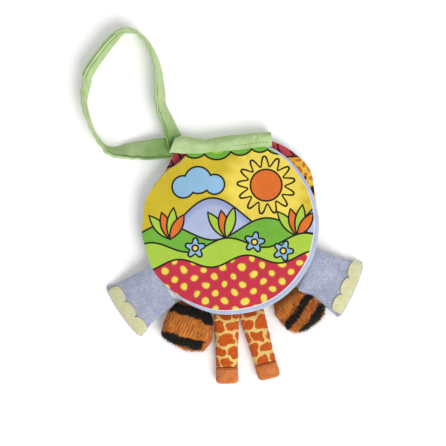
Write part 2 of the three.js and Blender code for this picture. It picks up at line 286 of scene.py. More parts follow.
def starAt(x, y, centre, radius, depth, count, turn=0.0):
    dx, dy = x - centre[0], y - centre[1]
    angle = dy.maths("ARCTAN2", dy, dx)
    return waved(length2(dx, dy) - radius, angle * count + turn, depth, depth * count / radius)


def bladeAt(x, y, foot, degrees, length, width):
    turn = math.radians(degrees)
    dx, dy = x - foot[0], y - foot[1]
    along = dx * math.cos(turn) + dy * math.sin(turn) - length / 2
    aside = dy * math.cos(turn) - dx * math.sin(turn)
    part = along * (2 / length)
    return aside.size() - (1 - part * part) * (width / 2)


def hillAt(x, y, height, rise, pitch, shift):
    return waved(y - height, x * (2 * math.pi / pitch) + shift, rise, rise * 2 * math.pi / pitch)


rowPitch = 0.86  # from row to row of dots, as a share of their pitch


def dotsAt(wire, x, y, pitch, radius, jitter):
    place = spacePlace(wire)
    x = x + (speckle(wire, place, 0.07, 1.0) - 0.5) * jitter
    y = y + (speckle(wire, place, 0.055, 1.0) - 0.5) * jitter
    even, odd = [
        length2((x + shift).wrap(pitch), (y + shift * rowPitch).wrap(pitch * rowPitch))
        for shift in (0, pitch / 2)
    ]
    return even.least(odd) - radius


printShades = {
    "mustard": colour(217, 192, 48),
    "lime": colour(178, 214, 72),
    "green": colour(118, 184, 62),
    "crimson": colour(206, 52, 74),
    "dot": colour(250, 224, 92),
    "ring": colour(196, 120, 50),
    "orange": colour(232, 118, 44),
    "sky": colour(150, 196, 228),
    "periwinkle": colour(160, 172, 214),
    "paper": colour(244, 243, 236),
}


def dottedCrimson(wire, x, y):
    shades = printShades
    dots = dotsAt(wire, x, y, 16.5, 3.1, 7.0)
    ringed = dots.under(0.4).mixed(shades["crimson"], shades["ring"])
    return dots.under(-0.45).mixed(ringed, shades["dot"])


# a sun over hills with leaves and flowers, and a spotted foreground
def coverPicture(wire, x, y):
    shades = printShades
    sun = (33, 33)
    picture = starAt(x, y, sun, 34, 2.2, 18).under(0.0, 6.0).mixed(shades["mustard"], shades["dot"])
    picture = layOn(picture, starAt(x, y, sun, 20.5, 4.2, 13), shades["dot"])
    picture = layOn(picture, circleAt(x, y, sun, 13.5), shades["orange"])
    cloud = circleAt(x, y, (-38, 36), 9.5).least(circleAt(x, y, (-25, 41), 11.5))
    cloud = cloud.least(circleAt(x, y, (-11, 36.5), 8.5))
    picture = layOn(picture, cloud, shades["sky"])
    canopy = circleAt(x, y, (-46, 73), 14)
    for middle, radius in ((-26, 12), (-7, 14.5), (13, 12), (30, 10.5), (46, 13)):
        canopy = canopy.least(circleAt(x, y, (middle, 72), radius))
    picture = layOn(picture, canopy, shades["green"])
    picture = canopy.under(-5.0, 0.3).mixed(picture, shades["lime"])
    picture = layOn(picture, hillAt(x, y, 8, 17, 112, 2.4), shades["periwinkle"])
    picture = hillAt(x, y, 2, 17, 112, 2.4).under(0.0, 3.0).mixed(picture, colour(186, 196, 230))
    picture = layOn(picture, hillAt(x, y, -3, 8, 88, -0.6), shades["green"])
    tufts = {(-52, -8): (128, 104, 80, 57), (-4, -10): (122, 97, 72), (57, -12): (126, 101, 77, 52)}
    for foot, leans in tufts.items():
        for number, lean in enumerate(leans):
            shade = shades["orange"] if number % 2 else shades["lime"]
            picture = layOn(picture, bladeAt(x, y, foot, lean, 27 - 3 * (number % 2), 8.4), shade)
    picture = layOn(picture, hillAt(x, y, -15, 5, 66, 1.9), shades["lime"])
    for centre, turn in (((-31, -17), 0.4), ((20, -15), 1.2), ((44, -24), 2.1)):
        picture = layOn(picture, starAt(x, y, centre, 6.9, 1.9, 5, turn), shades["sky"])
        picture = layOn(picture, circleAt(x, y, centre, 2.6), shades["dot"])
    picture = layOn(picture, hillAt(x, y, -30, 4.2, 58, 0.3), dottedCrimson(wire, x, y))
    rim, inset = flatPlace(wire, "rim")
    return (rim - inset * 0.22).under(0.0).mixed(picture, shades["paper"])


# rounded patches in staggered rows, with a line of even width between them
def patchPattern(wire, x, y, patch, deep, line, size, width):
    corner = 3.4  # mm

    def patchAt(shiftX, shiftY):
        outX = ((x + shiftX).wrap(size[0] * 2).size() - (size[0] - width) / 2 + corner).most(0.0)
        outY = ((y + shiftY).wrap(size[1]).size() - (size[1] - width) / 2 + corner).most(0.0)
        return length2(outX, outY) - corner

    shade = speckle(wire, spacePlace(wire), 0.5, 3.0).ease(0.3, 0.7).mixed(patch, deep)
    inside = patchAt(0.0, 0.0).least(patchAt(size[0], size[1] * 0.55))
    return inside.under(0.0, 0.45).mixed(line, shade)


# the middle page: orange spots on yellow, and a crimson band with drawn strokes beside the spine
def middleFrontPicture(wire, x, y):
    cloudy = speckle(wire, spacePlace(wire), 0.07).ease(0.4, 0.62)
    glow = cloudy.mixed(colour(246, 206, 72), colour(238, 160, 48))
    spots = dotsAt(wire, x, y, 9.5, 2.1, 11.0).under(0.0, 0.4).mixed(glow, colour(222, 118, 32))
    strokes = hillAt(y, x.wrap(9.5), 0, 2.2, 24, 0.0).size() - 0.5
    band = strokes.under(0.35, 0.3).mixed(colour(198, 66, 78), ink)
    picture = layOn(spots, 55 - y + (x * 0.14).sine() * 1.5, band)
    for foot, lean in (((62, 28), 62), ((70, 18), 74), ((-66, 22), 118)):
        picture = bladeAt(x, y, foot, lean, 13, 4.6).under(0.0).mixed(picture, ink)
    return picture


def leafyPicture(ground, leaf, vein):
    def paint(wire, x, y):
        picture = ground
        for shift, lean in ((0.0, 50), (13.0, 130)):
            gridX, gridY = (x + shift).wrap(26), (y + shift).wrap(26)
            picture = layOn(picture, bladeAt(gridX, gridY, (0, -7), lean, 15, 6.5), leaf, 0.7)
            picture = bladeAt(gridX, gridY, (0, -7), lean, 13, 0.7).under(0.0).mixed(picture, vein)
        return picture

    return paint


def dottedPicture(ground, dot, ring, pitch, radius):
    def paint(wire, x, y):
        dots = dotsAt(wire, x, y, pitch, radius, 2.0)
        return dots.under(-0.5).mixed(dots.under(0.4).mixed(ground, ring), dot)

    return paint


def wavyPicture(ground, stripe, pitch):
    def paint(wire, x, y):
        bands = hillAt(x, y.wrap(pitch), 0, 1.6, 22, 0.0).size() - pitch * 0.22
        return layOn(ground, bands, stripe, 0.8)

    return paint


# furs and felts have no weave: their grain comes from the object's own space
def napLook(paint, grain, depth, sheen):
    def look(wire):
        place = spacePlace(wire)
        hairs = speckle(wire, place, grain, 4.0, 0.7)
        dents = speckle(wire, place, 0.16, 3.0)
        lit = hairs.ease(0.3, 0.68).mixed(colour(222, 222, 225), colour(255, 255, 255))
        return {
            "Base Color": paint(wire, place).times(lit),
            "Roughness": 0.96,
            "Specular IOR Level": 0.12,
            "Sheen Weight": sheen,
            "Sheen Roughness": 0.4,
            "Normal": bump(wire, hairs * depth + dents * 0.5, 0.8, 0.9),
        }

    return look


def cloudyPaint(shade, deep, scale=0.08):
    def paint(wire, place):
        return speckle(wire, place, scale, 3.0).ease(0.34, 0.66).mixed(shade, deep)

    return paint


def legPaint(leg, pattern):
    # along and across the leg, in mm, from the object's own space
    def paint(wire, place):
        x, y = firstTwo(wire, place)
        dx, dy = x - leg["start"][0], y - leg["start"][1]
        axis = leg["axis"]
        return pattern(wire, place, dx * axis[0] + dy * axis[1], dy * axis[0] - dx * axis[1])

    return paint


print("prints ready")


# meshes: turned makes rings of points round an axis and places each by formula
def turned(stations, spokes, place, closed=(True, False), maps=None):
    mesh = bmesh.new()
    onAxis = {0: closed[0], stations - 1: closed[1]}
    line = [mesh.verts.new((0 if onAxis.get(k) else 1, 0, k)) for k in range(stations)]
    edges = [mesh.edges.new(pair) for pair in zip(line, line[1:])]
    bmesh.ops.spin(
        mesh, geom=line + edges, cent=(0, 0, 0), axis=(0, 0, 1), angle=2 * math.pi, steps=spokes,
        use_merge=True,
    )
    bmesh.ops.remove_doubles(mesh, verts=mesh.verts, dist=1e-5)
    codes = {v: (round(v.co.z), math.atan2(v.co.y, v.co.x)) for v in mesh.verts}
    return placed(mesh, codes, place, maps)


# a sheet from a grid, placed by formula from its shares along and across
def laid(columns, rows, place, maps=None):
    mesh = bmesh.new()
    bmesh.ops.create_grid(mesh, x_segments=columns, y_segments=rows, size=0.5)
    codes = {v: (v.co.x + 0.5, v.co.y + 0.5) for v in mesh.verts}
    return placed(mesh, codes, place, maps)


def placed(mesh, codes, place, maps):
    layers = {name: mesh.loops.layers.uv.new(name) for name in (maps or {"cloth": None})}
    for vert, code in codes.items():
        vert.co = Vector(place(*code))
    for face in mesh.faces:
        for loop in face.loops:
            for name, layer in layers.items():
                rule = (maps or {}).get(name)
                flat = rule(*codes[loop.vert]) if rule else loop.vert.co.xy
                loop[layer].uv = (flat[0] / uvMm, flat[1] / uvMm)
    bmesh.ops.recalc_face_normals(mesh, faces=mesh.faces)
    return mesh


def facing(mesh, direction):
    # the sheet's normals point the given way
    total = sum((face.normal * face.calc_area() for face in mesh.faces), Vector())
    if total.dot(Vector(direction)) < 0:
        bmesh.ops.reverse_faces(mesh, faces=mesh.faces)
    return mesh


def makePiece(name, mesh, material, sharp=50):
    mesh.transform(Matrix.Scale(metresPerMm, 4))
    data = bpy.data.meshes.new(name)
    mesh.to_mesh(data)
    mesh.free()
    data.materials.append(material)
    piece = bpy.data.objects.new(name, data)
    bpy.context.scene.collection.objects.link(piece)
    smooth(piece, sharp)
    return piece


def smooth(piece, sharp):
    piece.data.polygons.foreach_set("use_smooth", [True] * len(piece.data.polygons))
    piece.data.set_sharp_from_angle(angle=math.radians(sharp))


# a sheet gets its thickness and rounded edges, and the modifiers' result becomes its mesh
def thicken(piece, thickness, edge, offset=-1.0):
    wall = piece.modifiers.new("wall", "SOLIDIFY")
    wall.thickness = thickness * metresPerMm
    wall.offset = offset
    rim = piece.modifiers.new("rim", "BEVEL")
    rim.width = edge * metresPerMm
    rim.segments = 2
    rim.limit_method = "ANGLE"
    rim.angle_limit = math.radians(55)
    graph = bpy.context.evaluated_depsgraph_get()
    final = bpy.data.meshes.new_from_object(
        piece.evaluated_get(graph), preserve_all_data_layers=True, depsgraph=graph
    )
    piece.modifiers.clear()
    piece.data = final
    smooth(piece, 50)


def attach(piece, nodes, body, bend=None):
    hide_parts(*nodes)
    if bend:
        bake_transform(piece)
    else:
        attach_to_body(piece, body)


def easeStep(value):
    value = min(max(value, 0.0), 1.0)
    return value * value * (3 - 2 * value)


# one at nothing, and down to nothing over the spread on both sides
def ridge(value, spread):
    return math.exp(-((value / spread) ** 2))


# value at a place in a table of rows that start with their place, on a smooth curve
def rowAt(rows, at):
    last = len(rows) - 1
    low = max(k for k in range(last) if rows[k][0] <= at or k == 0)
    part = min(max((at - rows[low][0]) / (rows[low + 1][0] - rows[low][0]), 0.0), 1.0)
    before, after = rows[max(low - 1, 0)], rows[min(low + 2, last)]
    first, second = rows[low], rows[low + 1]
    values = []
    for k in range(1, len(first)):
        span = second[0] - first[0]
        slopeIn = (second[k] - before[k]) / (second[0] - before[0]) * span
        slopeOut = (after[k] - first[k]) / (after[0] - first[0]) * span
        t2, t3 = part * part, part**3
        values.append(
            first[k] * (2 * t3 - 3 * t2 + 1)
            + slopeIn * (t3 - 2 * t2 + part)
            + second[k] * (3 * t2 - 2 * t3)
            + slopeOut * (t3 - t2)
        )
    return values


# leaves: round padded pages with a straight spine edge
leaf = {
    "radius": 75.5,
    "half": 3.0,  # half the thickness in the middle
    "rimHalf": 0.75,
    "flatShare": 0.5,
    "crownPower": 2.4,
    "cloth": 0.6,
    "layerGap": 0.3,
    "film": 0.3,
    "fillShare": 0.88,
    "spokes": 240,
    "billow": 0.55,
    "pucker": 0.75,
    "seams": {"back": 3.0, "middle": 9.3, "cover": 15.6},
    "spineY": {"back": 67.4, "middle": 71.0, "cover": 67.4},
    "shoulders": {"back": (1.8, 2.0), "middle": (1.8, 2.8), "cover": (1.8, 2.0)},
    "cornerReach": 71.6,  # the middle leaf's straight edge to its left spine corner, off the centre
    "cornerFacing": 149.4,  # degrees
    # how far the print stops short of the rim, by degrees from +X
    "inset": [
        (-180, 0.0), (-150, 0.1), (-125, 1.4), (-90, 3.0), (-45, 3.6), (0, 3.0),
        (30, 1.9), (60, 1.0), (90, 0.3), (150, 0.0), (180, 0.0),
    ],
    "uneven": 0.01,
    # where the rim stands out or in: degrees from +X, mm, spread in degrees
    "bulges": {
        "back": [],
        "middle": [(31.0, 2.9, 8.5)],
        "cover": [(159.0, 2.3, 9.0), (126.0, -3.2, 9.0)],
    },
    "bodies": {"back": "back", "middle": "spine", "cover": "cover"},
    "printLift": 0.12,
    "liningShare": 1.09,  # the lining's cut beside the leaf's
}


def leafReach(name, angle):
    left, right = leaf["shoulders"][name]
    above = math.sin(angle) > 0
    power = (right if math.cos(angle) > 0 else left) if above else 2.0
    reach = leaf["radius"] / (abs(math.cos(angle)) ** power + abs(math.sin(angle)) ** power) ** (1 / power)
    facing = math.radians(leaf["cornerFacing"])
    if name == "middle" and math.pi / 2 < angle < facing:
        reach = max(reach, leaf["cornerReach"] / math.cos(angle - facing))
    wander = noise.noise(Vector((math.cos(angle), math.sin(angle), leaf["seams"][name])) * 3.2)
    reach *= 1 + leaf["uneven"] * wander
    for middle, most, spread in leaf["bulges"][name]:
        reach += most * ridge(math.degrees(angle) - middle, spread)
    return min(reach, leaf["spineY"][name] / math.sin(angle)) if above and math.sin(angle) > 0.1 else reach


def leafHalf(share):
    past = max(0.0, (share - leaf["flatShare"]) / (1 - leaf["flatShare"]))
    return leaf["rimHalf"] + (leaf["half"] - leaf["rimHalf"]) * (1 - min(past, 1.0) ** leaf["crownPower"])


def leafPoint(name, share, angle, side, depth=0.0, relief=1.0):
    reach = leafReach(name, angle)
    x, y = reach * share * math.cos(angle), reach * share * math.sin(angle)
    seam = leaf["seams"][name]
    around = Vector((math.cos(angle), math.sin(angle), seam)) * 8.5
    crease = max(0.0, 1 - abs(noise.noise(around)) * 5) ** 2
    fold = -leaf["pucker"] * crease * easeStep((share - 0.7) / 0.22)
    rolling = noise.noise(Vector((x, y, seam * 3 + side)) * 0.03)
    billow = leaf["billow"] * rolling * easeStep((1.02 - share) * 4)
    ripple = 0.22 * noise.noise(around * 0.6) * easeStep((share - 0.6) / 0.3)
    height = leafHalf(share) - depth + relief * (billow + ripple + fold * 0.6)
    return Vector((x, y, max(seam + side * height, 0.1)))


def printInset(angle):
    return rowAt(leaf["inset"], math.degrees(angle))[0]


# in square metres, from slices of one degree
def flatArea(name):
    slices = [leafReach(name, math.radians(degree)) ** 2 / 2 * math.radians(1) for degree in range(360)]
    return sum(slices) * 1e-6


# width and depth of the cut in metres
def flatSize(name):
    return 2 * leaf["radius"] * metresPerMm, (leaf["radius"] + leaf["spineY"][name]) * metresPerMm


def leafPanel(name, side, material, node, hinge=None, printed=False):
    rings = 40
    shares = [1 - (1 - k / (rings - 1)) ** 1.25 for k in range(rings)]

    def reduce(angle):
        return 1 - printInset(angle) / leafReach(name, angle) if printed else 1.0

    def place(k, angle):
        share = shares[k] * reduce(angle)
        point = leafPoint(name, share, angle, side)
        if printed:
            point.z += leaf["printLift"]
        return point

    maps = {
        "cloth": lambda k, angle: place(k, angle).xy,
        "rim": lambda k, angle: ((1 - shares[k]) * reduce(angle) * leafReach(name, angle), printInset(angle)),
    }
    mesh = facing(turned(rings, leaf["spokes"], place, (True, False), maps), (0, 0, side))
    piece = makePiece(f"{name}{'Front' if side > 0 else 'Back'}Panel", mesh, material)
    thicken(piece, leaf["cloth"], 0.22)
    attach(piece, [node], leaf["bodies"][name], hinge)
    width, depth = flatSize(name)
    area = flatArea(name) * (0.95 if printed else 1.0)


# the lining goes round the rim and shows beyond the print
def leafLining(name, material, node, hinge):
    flatRings = 36
    # rows of share and side: the underside, the roll round the rim, and what is turned in under the print
    underside = [(1 - (1 - k / (flatRings - 1)) ** 1.25, -1) for k in range(flatRings)]
    roll = [(1.0, math.sin(math.radians(a))) for a in (-60, -30, 0, 30, 60)]
    turnIn = [(share, 1) for share in (1.0, 0.99, 0.975, 0.96, 0.94, 0.92, 0.9)]
    profile = underside + roll + turnIn

    def place(k, angle):
        share, side = profile[k]
        if abs(side) < 1:
            point = leafPoint(name, 1.0, angle, 0)
            out = math.sqrt(1 - side * side) * leaf["rimHalf"] * 0.7 * min(1.0, printInset(angle))
            point.x += out * math.cos(angle)
            point.y += out * math.sin(angle) * (0.0 if math.sin(angle) > 0.86 else 1.0)
            edge = leafPoint(name, 1.0, angle, 1 if side >= 0 else -1)
            point.z = leaf["seams"][name] + abs(edge.z - leaf["seams"][name]) * side
            return point
        beneath = 0.55 * easeStep((leafReach(name, angle) * (1 - share) - printInset(angle) + 1.2) / 1.2)
        return leafPoint(name, share, angle, side, beneath if side > 0 else 0.0)

    mesh = facing(turned(len(profile), leaf["spokes"], place), (0, 0, -1))
    piece = makePiece(f"{name}BackPanel", mesh, material)
    thicken(piece, leaf["cloth"], 0.2)
    attach(piece, [node], leaf["bodies"][name], hinge)
    width, depth = [side * leaf["liningShare"] for side in flatSize(name)]
    flatArea(name) * 1.2


def leafFilling(name, film):
    rings = 20
    inside = leaf["cloth"] + leaf["layerGap"]
    filmDepth = leaf["film"] + leaf["layerGap"]
    top = inside + (0 if film else filmDepth)
    kind = "crinkle_film" if film else "wadding"

    def place(k, angle):
        upper = k >= rings
        level = k if not upper else 2 * rings - 1 - k
        share = leaf["fillShare"] * math.sin(math.pi / 2 * level / (rings - 1))
        point = leafPoint(name, share, angle, 1, top, 0.6)
        low = point.z - leaf["film"] if film else 2 * leaf["seams"][name] - point.z - filmDepth + 0.3
        crumple = 0.12 * noise.noise(Vector((point.x, point.y, 7.0)) * 0.45) if film else 0.0
        point.z = (point.z if upper else low) + crumple
        return point

    mesh = turned(2 * rings, 96, place, (True, True))
    material = materials["film" if film else "wadding"]
    piece = makePiece(f"{name}{'Film' if film else 'Wadding'}", mesh, material)
    attach(piece, [f"{name}_{kind}"], leaf["bodies"][name])
    if film:
        width, depth = [side * leaf["fillShare"] for side in flatSize(name)]
        flatArea(name) * leaf["fillShare"] ** 2


def filmLook(wire):
    place = spacePlace(wire)
    milky = speckle(wire, place, 0.3).ease(0.3, 0.7)
    return {
        "Base Color": milky.mixed(colour(214, 222, 228), colour(236, 240, 243)),
        "Roughness": speckle(wire, place, 0.5, 3.0).ease(0.3, 0.7, 0.16, 0.4),
        "Normal": bump(wire, speckle(wire, place, 0.35, 4.0, 0.7), 0.8, 1.2),
    }


bindingDye = dyed(colour(200, 224, 164), colour(182, 212, 142))
liningDye = dyed(colour(198, 208, 234), colour(182, 194, 224))
middleBackPicture = leafyPicture(printShades["sky"], printShades["green"], ink)
backInsidePicture = wavyPicture(printShades["lime"], printShades["orange"], 16)
backPicture = dottedPicture(printShades["lime"], printShades["crimson"], printShades["green"], 14, 3.0)
materials = {
    "binding": makeMaterial("bindingCotton", cottonLook(bindingDye, 0.7)),
    # the strap's stitch row near its edge, with painted shade along its furrow
    "strap": makeMaterial("strapCotton", cottonLook(strapGreenWithPaintedShade, 0.8, ((15.5, 2.8, colour(92, 134, 56)),))),
    "coverPrint": makeMaterial("coverPrint", cottonLook(coverPicture, 0.55)),
    "lining": makeMaterial("liningCotton", cottonLook(liningDye, 0.55)),
    "middleFront": makeMaterial("middleFrontPrint", cottonLook(middleFrontPicture, 0.5)),
    "middleBack": makeMaterial("middleBackPrint", cottonLook(middleBackPicture, 0.5)),
    "backInside": makeMaterial("backInsidePrint", cottonLook(backInsidePicture, 0.5)),
    "backOutside": makeMaterial("backPrint", cottonLook(backPicture, 0.5)),
    "wadding": makeMaterial(
        "wadding", napLook(cloudyPaint(colour(246, 244, 236), colour(234, 231, 222)), 0.9, 1.0, 0.2)
    ),
    "film": makeMaterial("crinkleFilm", filmLook),
}

hinges = {
    "cover": ("spine", (0, 65.4, 15.6), (0, 57.0, 15.6)),
    "back": ("spine", (0, 65.4, 3.0), (0, 57.0, 3.0)),
}

for leafName in ("back", "middle", "cover"):
    leafFilling(leafName, False)
    leafFilling(leafName, True)
leafPanel("back", -1, materials["backOutside"], "back_back_panel", hinges["back"])
leafPanel("back", 1, materials["backInside"], "back_front_panel", hinges["back"])
leafPanel("middle", -1, materials["middleBack"], "middle_back_panel")
leafPanel("middle", 1, materials["middleFront"], "middle_front_panel")
leafLining("cover", materials["lining"], "cover_back_panel", hinges["cover"])
leafPanel("cover", 1, materials["coverPrint"], "cover_front_panel", hinges["cover"], True)
print("leaves made")

# binding: cloth folded round the spine edges, open towards the leaves
binding = {
    "lipY": 67.0,
    "depth": 12.8,
    "right": 40.2,
    "lipLeft": -48.0,
    "foldLeft": -42.0,
    "middleZ": 9.3,
    "halfHeight": 8.4,
    "roundness": 2.8,
    "cloth": 1.2,
    "wrinkle": 0.8,
    # how far the back edge and the lip sag towards the leaves, by x
    "sag": [
        (-48, 0, 0.9), (-40, 0, 1.7), (-33, 0.1, 2.5), (-21, 2.2, 2.9), (-15, 3.7, 2.8), (-8, 2.3, 2.6),
        (5, 1.7, 2.1), (20, 1.3, 1.3), (27, 0.3, 0.9), (41, 0.2, 0.7),
    ],
    "stitchInset": 2.1,
    "stitchPitch": 3.1,
    "stitchLength": 2.3,
    "stitchMargin": 2.0,  # from the binding's ends to the first and last stitch
    "threadWidth": 0.55,
}


def bindingPoint(along, around, lift=0.0):
    angle = math.pi * (around - 0.5)
    back = abs(math.cos(angle)) ** (2 / binding["roundness"])
    up = math.copysign(abs(math.sin(angle)) ** (2 / binding["roundness"]), math.sin(angle))
    y = binding["lipY"] + binding["depth"] * back
    left = binding["lipLeft"] + (binding["foldLeft"] - binding["lipLeft"]) * back
    x = left + (binding["right"] - left) * along
    backSag, lipSag = rowAt(binding["sag"], x)
    y -= lipSag + (backSag - lipSag) * back
    folds = noise.noise(Vector((x * 0.07 + y * 0.05, y * 0.16, around * 2)))
    fine = noise.noise(Vector((x * 0.16 - y * 0.12, y * 0.3, around * 3 + 4)))
    fromLip = binding["depth"] * back
    pinch = ridge(fromLip - binding["stitchInset"], 1.1)
    puff = 0.5 * math.sin(math.pi * min(max((fromLip - 2.5) / 9, 0.0), 1.0))
    dent = binding["wrinkle"] * (1.1 * folds - 0.3 * max(0.0, 1 - abs(fine) * 3) * (1 - pinch)) + puff - 0.3
    y += dent * abs(math.cos(angle)) * 0.9 + 0.5 * noise.noise(Vector((x * 0.12, 3.0, up))) * (1 - back)
    # two soft folds run across the binding
    crossFold = ridge(x - 26 - 0.3 * (y - 72), 1.8) + 0.8 * ridge(x + 9 + 0.2 * (y - 72), 1.5)
    hollow = 0.9 * crossFold * easeStep((fromLip - 3) / 4)
    height = binding["halfHeight"] + dent * 0.9 - 0.75 * pinch - hollow + lift
    height += 0.4 * lipSag * (1 - back) + 0.3
    return Vector((x, y, max(binding["middleZ"] + height * up, 0.15)))


def makeBinding():
    def place(along, around):
        # rows are closer together where the fold turns
        return bindingPoint(along, around + 0.06 * math.sin(4 * math.pi * around))

    maps = {"cloth": lambda along, around: (along * 85.0, around * 40.0)}
    piece = makePiece("spineBinding", facing(laid(120, 56, place, maps), (0, 1, 0)), materials["binding"])
    thicken(piece, binding["cloth"], 0.4)
    attach(piece, ["spine_binding"], "spine")


# many copies of one small shape, each with its own matrix, in one mesh
def scatter(template, matrices):
    shape = bpy.data.meshes.new("template")
    template.to_mesh(shape)
    template.free()
    rest = [v.co.copy() for v in shape.vertices]
    whole = bmesh.new()
    for first in range(0, len(matrices), 200):
        batch = bmesh.new()
        for matrix in matrices[first : first + 200]:
            shape.vertices.foreach_set("co", [c for point in rest for c in matrix @ point])
            batch.from_mesh(shape)
        part = bpy.data.meshes.new("batch")
        batch.to_mesh(part)
        batch.free()
        whole.from_mesh(part)
        bpy.data.meshes.remove(part)
    bpy.data.meshes.remove(shape)
    return whole


def threadShape():
    template = bmesh.new()
    bmesh.ops.create_uvsphere(template, u_segments=8, v_segments=6, radius=0.5)
    return template


def stitchMatrix(first, second, normal, thickness):
    along = (second - first).normalized()
    normal = (normal - along * normal.dot(along)).normalized()
    aside = normal.cross(along)
    turn = Matrix((along, aside, normal)).transposed().to_4x4()
    size = Matrix.Diagonal(((second - first).length, thickness, thickness, 1))
    return Matrix.Translation((first + second) / 2) @ turn @ size


def makeTopstitch():
    margin = binding["stitchMargin"]
    whole = binding["right"] - binding["lipLeft"]
    matrices = []
    for around, up in ((0.949, 1), (0.051, -1)):
        for number in range(int((whole - 2 * margin) / binding["stitchPitch"])):
            start = (margin + number * binding["stitchPitch"]) / whole
            end = start + binding["stitchLength"] / whole
            ends = [bindingPoint(at, around, 0.12) for at in (start, end)]
            matrices.append(stitchMatrix(*ends, Vector((0, 0, up)), binding["threadWidth"]))
    piece = makePiece("spineTopstitch", scatter(threadShape(), matrices), materials["thread"])
    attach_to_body(piece, "spine")


# the thread's dye is darker towards the right end of the binding
def threadLook(pale, deep):
    def look(wire):
        place = spacePlace(wire)
        twist = speckle(wire, place, 3.5, 2.0)
        right = wire.node("ShaderNodeSeparateXYZ", None, {0: place}).ease(2.0, 14.0)
        return {
            "Base Color": (twist.ease(0.3, 0.7) * 0.2 + right * 0.8).mixed(pale, deep),
            "Roughness": 0.6,
            "Normal": bump(wire, twist, 0.5, 0.3),
        }

    return look


# what is sewn into the binding of a leaf that turns
flap = {"y": 66.9, "depth": 3.6, "endGap": 2.5, "cloth": 1.2}


def makeFlap(name, seam, material, node):
    def place(along, across):
        x = binding["foldLeft"] + flap["endGap"]
        x += (binding["right"] - binding["foldLeft"] - 2 * flap["endGap"]) * along
        wave = 0.12 * noise.noise(Vector((x * 0.2, across, seam)))
        return Vector((x, flap["y"] + flap["depth"] * across, seam + wave))

    maps = {"cloth": lambda along, across: (along * 77.0, across * 4.0)}
    mesh = facing(laid(60, 6, place, maps), (0, 0, 1))
    piece = makePiece(name, mesh, material)
    thicken(piece, flap["cloth"], 0.3, 0.0)
    attach(piece, [node], "spine")


materials["thread"] = makeMaterial("bindingThread", threadLook(colour(196, 222, 160), colour(74, 112, 44)))
makeBinding()
makeTopstitch()
makeFlap("coverSpineFlap", 15.6, materials["lining"], "cover_spine_flap")
makeFlap("backSpineFlap", 3.0, materials["backOutside"], "back_spine_flap")
print("binding made")

# strap: two halves of a flat sewn band that close in a loop
strap = {
    "width": 18.0,
    "thickness": 1.3,
    "padThickness": 0.8,
    "padMargin": 2.0,
    "clearance": 0.3,
    "height": 9.4,
    "loopWidth": 72.0,
    "loopHeight": 105.0,
    "overlap": 50.0,
    "wave": 0.7,
    "bead": 0.65,
    "tabShort": 4.0,
    "lap": 1.2,  # how far the upper half reaches over the tab
    "pivot": (-48.2, 67.0, 10.2),
    "leaves": (-0.905, 0.424, 0),  # the way in which it leaves the binding
    "bendLength": 9.0,
    # each row: left and up as shares of the loop, and degrees from lying flat
    "lower": [
        (-0.015, 0.031, 0), (0.132, 0.031, 2), (0.279, 0.028, 12), (0.496, 0.03, 40), (0.686, 0.037, 64),
        (0.779, 0.074, 80), (0.856, 0.16, 87), (0.918, 0.261, 89), (0.965, 0.386, 86), (0.978, 0.464, 82),
        (0.95, 0.556, 77), (0.903, 0.667, 74), (0.743, 0.814, 75), (0.6, 0.925, 79), (0.52, 0.97, 83),
        (0.458, 0.984, 86),
    ],
    "upper": [
        (-0.046, 0.139, 36), (-0.032, 0.181, 42), (0.01, 0.28, 54), (0.071, 0.405, 62), (0.064, 0.511, 66),
        (0.077, 0.676, 74), (0.125, 0.835, 79), (0.247, 0.966, 85), (0.335, 1.005, 90),
    ],
}


def loopPlace(row):
    x = binding["lipLeft"] - strap["loopWidth"] * row[0]
    return Vector((x, binding["lipY"] + strap["loopHeight"] * row[1], strap["height"]))


def finePath(places, fine=24):
    # a centripetal curve through the places, as points with their row numbers
    ends = [2 * places[0] - places[1], *places, 2 * places[-1] - places[-2]]
    points = []
    for k in range(len(places) - 1):
        four = ends[k : k + 4]
        knots = [0.0]
        for a, b in zip(four, four[1:]):
            knots.append(knots[-1] + math.sqrt((b - a).length))
        for step in range(fine + (k == len(places) - 2)):
            part = step / fine
            t = knots[1] + (knots[2] - knots[1]) * part
            level = four
            for depth in range(1, 4):
                level = [
                    level[i] * ((knots[i + depth] - t) / (knots[i + depth] - knots[i]))
                    + level[i + 1] * ((t - knots[i]) / (knots[i + depth] - knots[i]))
                    if depth < 3
                    else level[i] * ((knots[2] - t) / (knots[2] - knots[1]))
                    + level[i + 1] * ((t - knots[1]) / (knots[2] - knots[1]))
                    for i in range(len(level) - 1)
                ]
            points.append((level[0], k + part))
    return points


class Band:
    # stations along a route: place, direction of the width, and of the thickness
    def __init__(self, places, tilts):
        self.points = finePath(places)
        self.tilts = tilts
        self.lengths = [0.0]
        for (a, _), (b, _) in zip(self.points, self.points[1:]):
            self.lengths.append(self.lengths[-1] + (b - a).length)
        self.length = self.lengths[-1]

    def at(self, distance):
        distance = min(max(distance, 0.0), self.length)
        reached = next((i for i, s in enumerate(self.lengths) if s >= distance), 1)
        k = max(0, min(len(self.points) - 2, reached - 1))
        part = (distance - self.lengths[k]) / (self.lengths[k + 1] - self.lengths[k])
        (a, rowA), (b, rowB) = self.points[k], self.points[k + 1]
        before, after = self.points[max(k - 3, 0)][0], self.points[min(k + 4, len(self.points) - 1)][0]
        heading = (after - before).normalized()
        row = rowA + (rowB - rowA) * part
        low = min(int(row), len(self.tilts) - 2)
        tilt = math.radians(self.tilts[low] + (self.tilts[low + 1] - self.tilts[low]) * (row - low))
        side = Vector((-heading.y, heading.x, 0))
        width = side * math.cos(tilt) + Vector((0, 0, math.sin(tilt)))
        return a.lerp(b, part), heading, width, heading.cross(width)


# where across a band its section has points, closer together at its edges and along the sewn bead
bandShares = (
    0.0, 0.008, 0.025, 0.06, 0.14, 0.28, 0.44, 0.6, 0.74, 0.82, 0.86, 0.89, 0.92, 0.95, 0.975, 0.992, 1.0
)


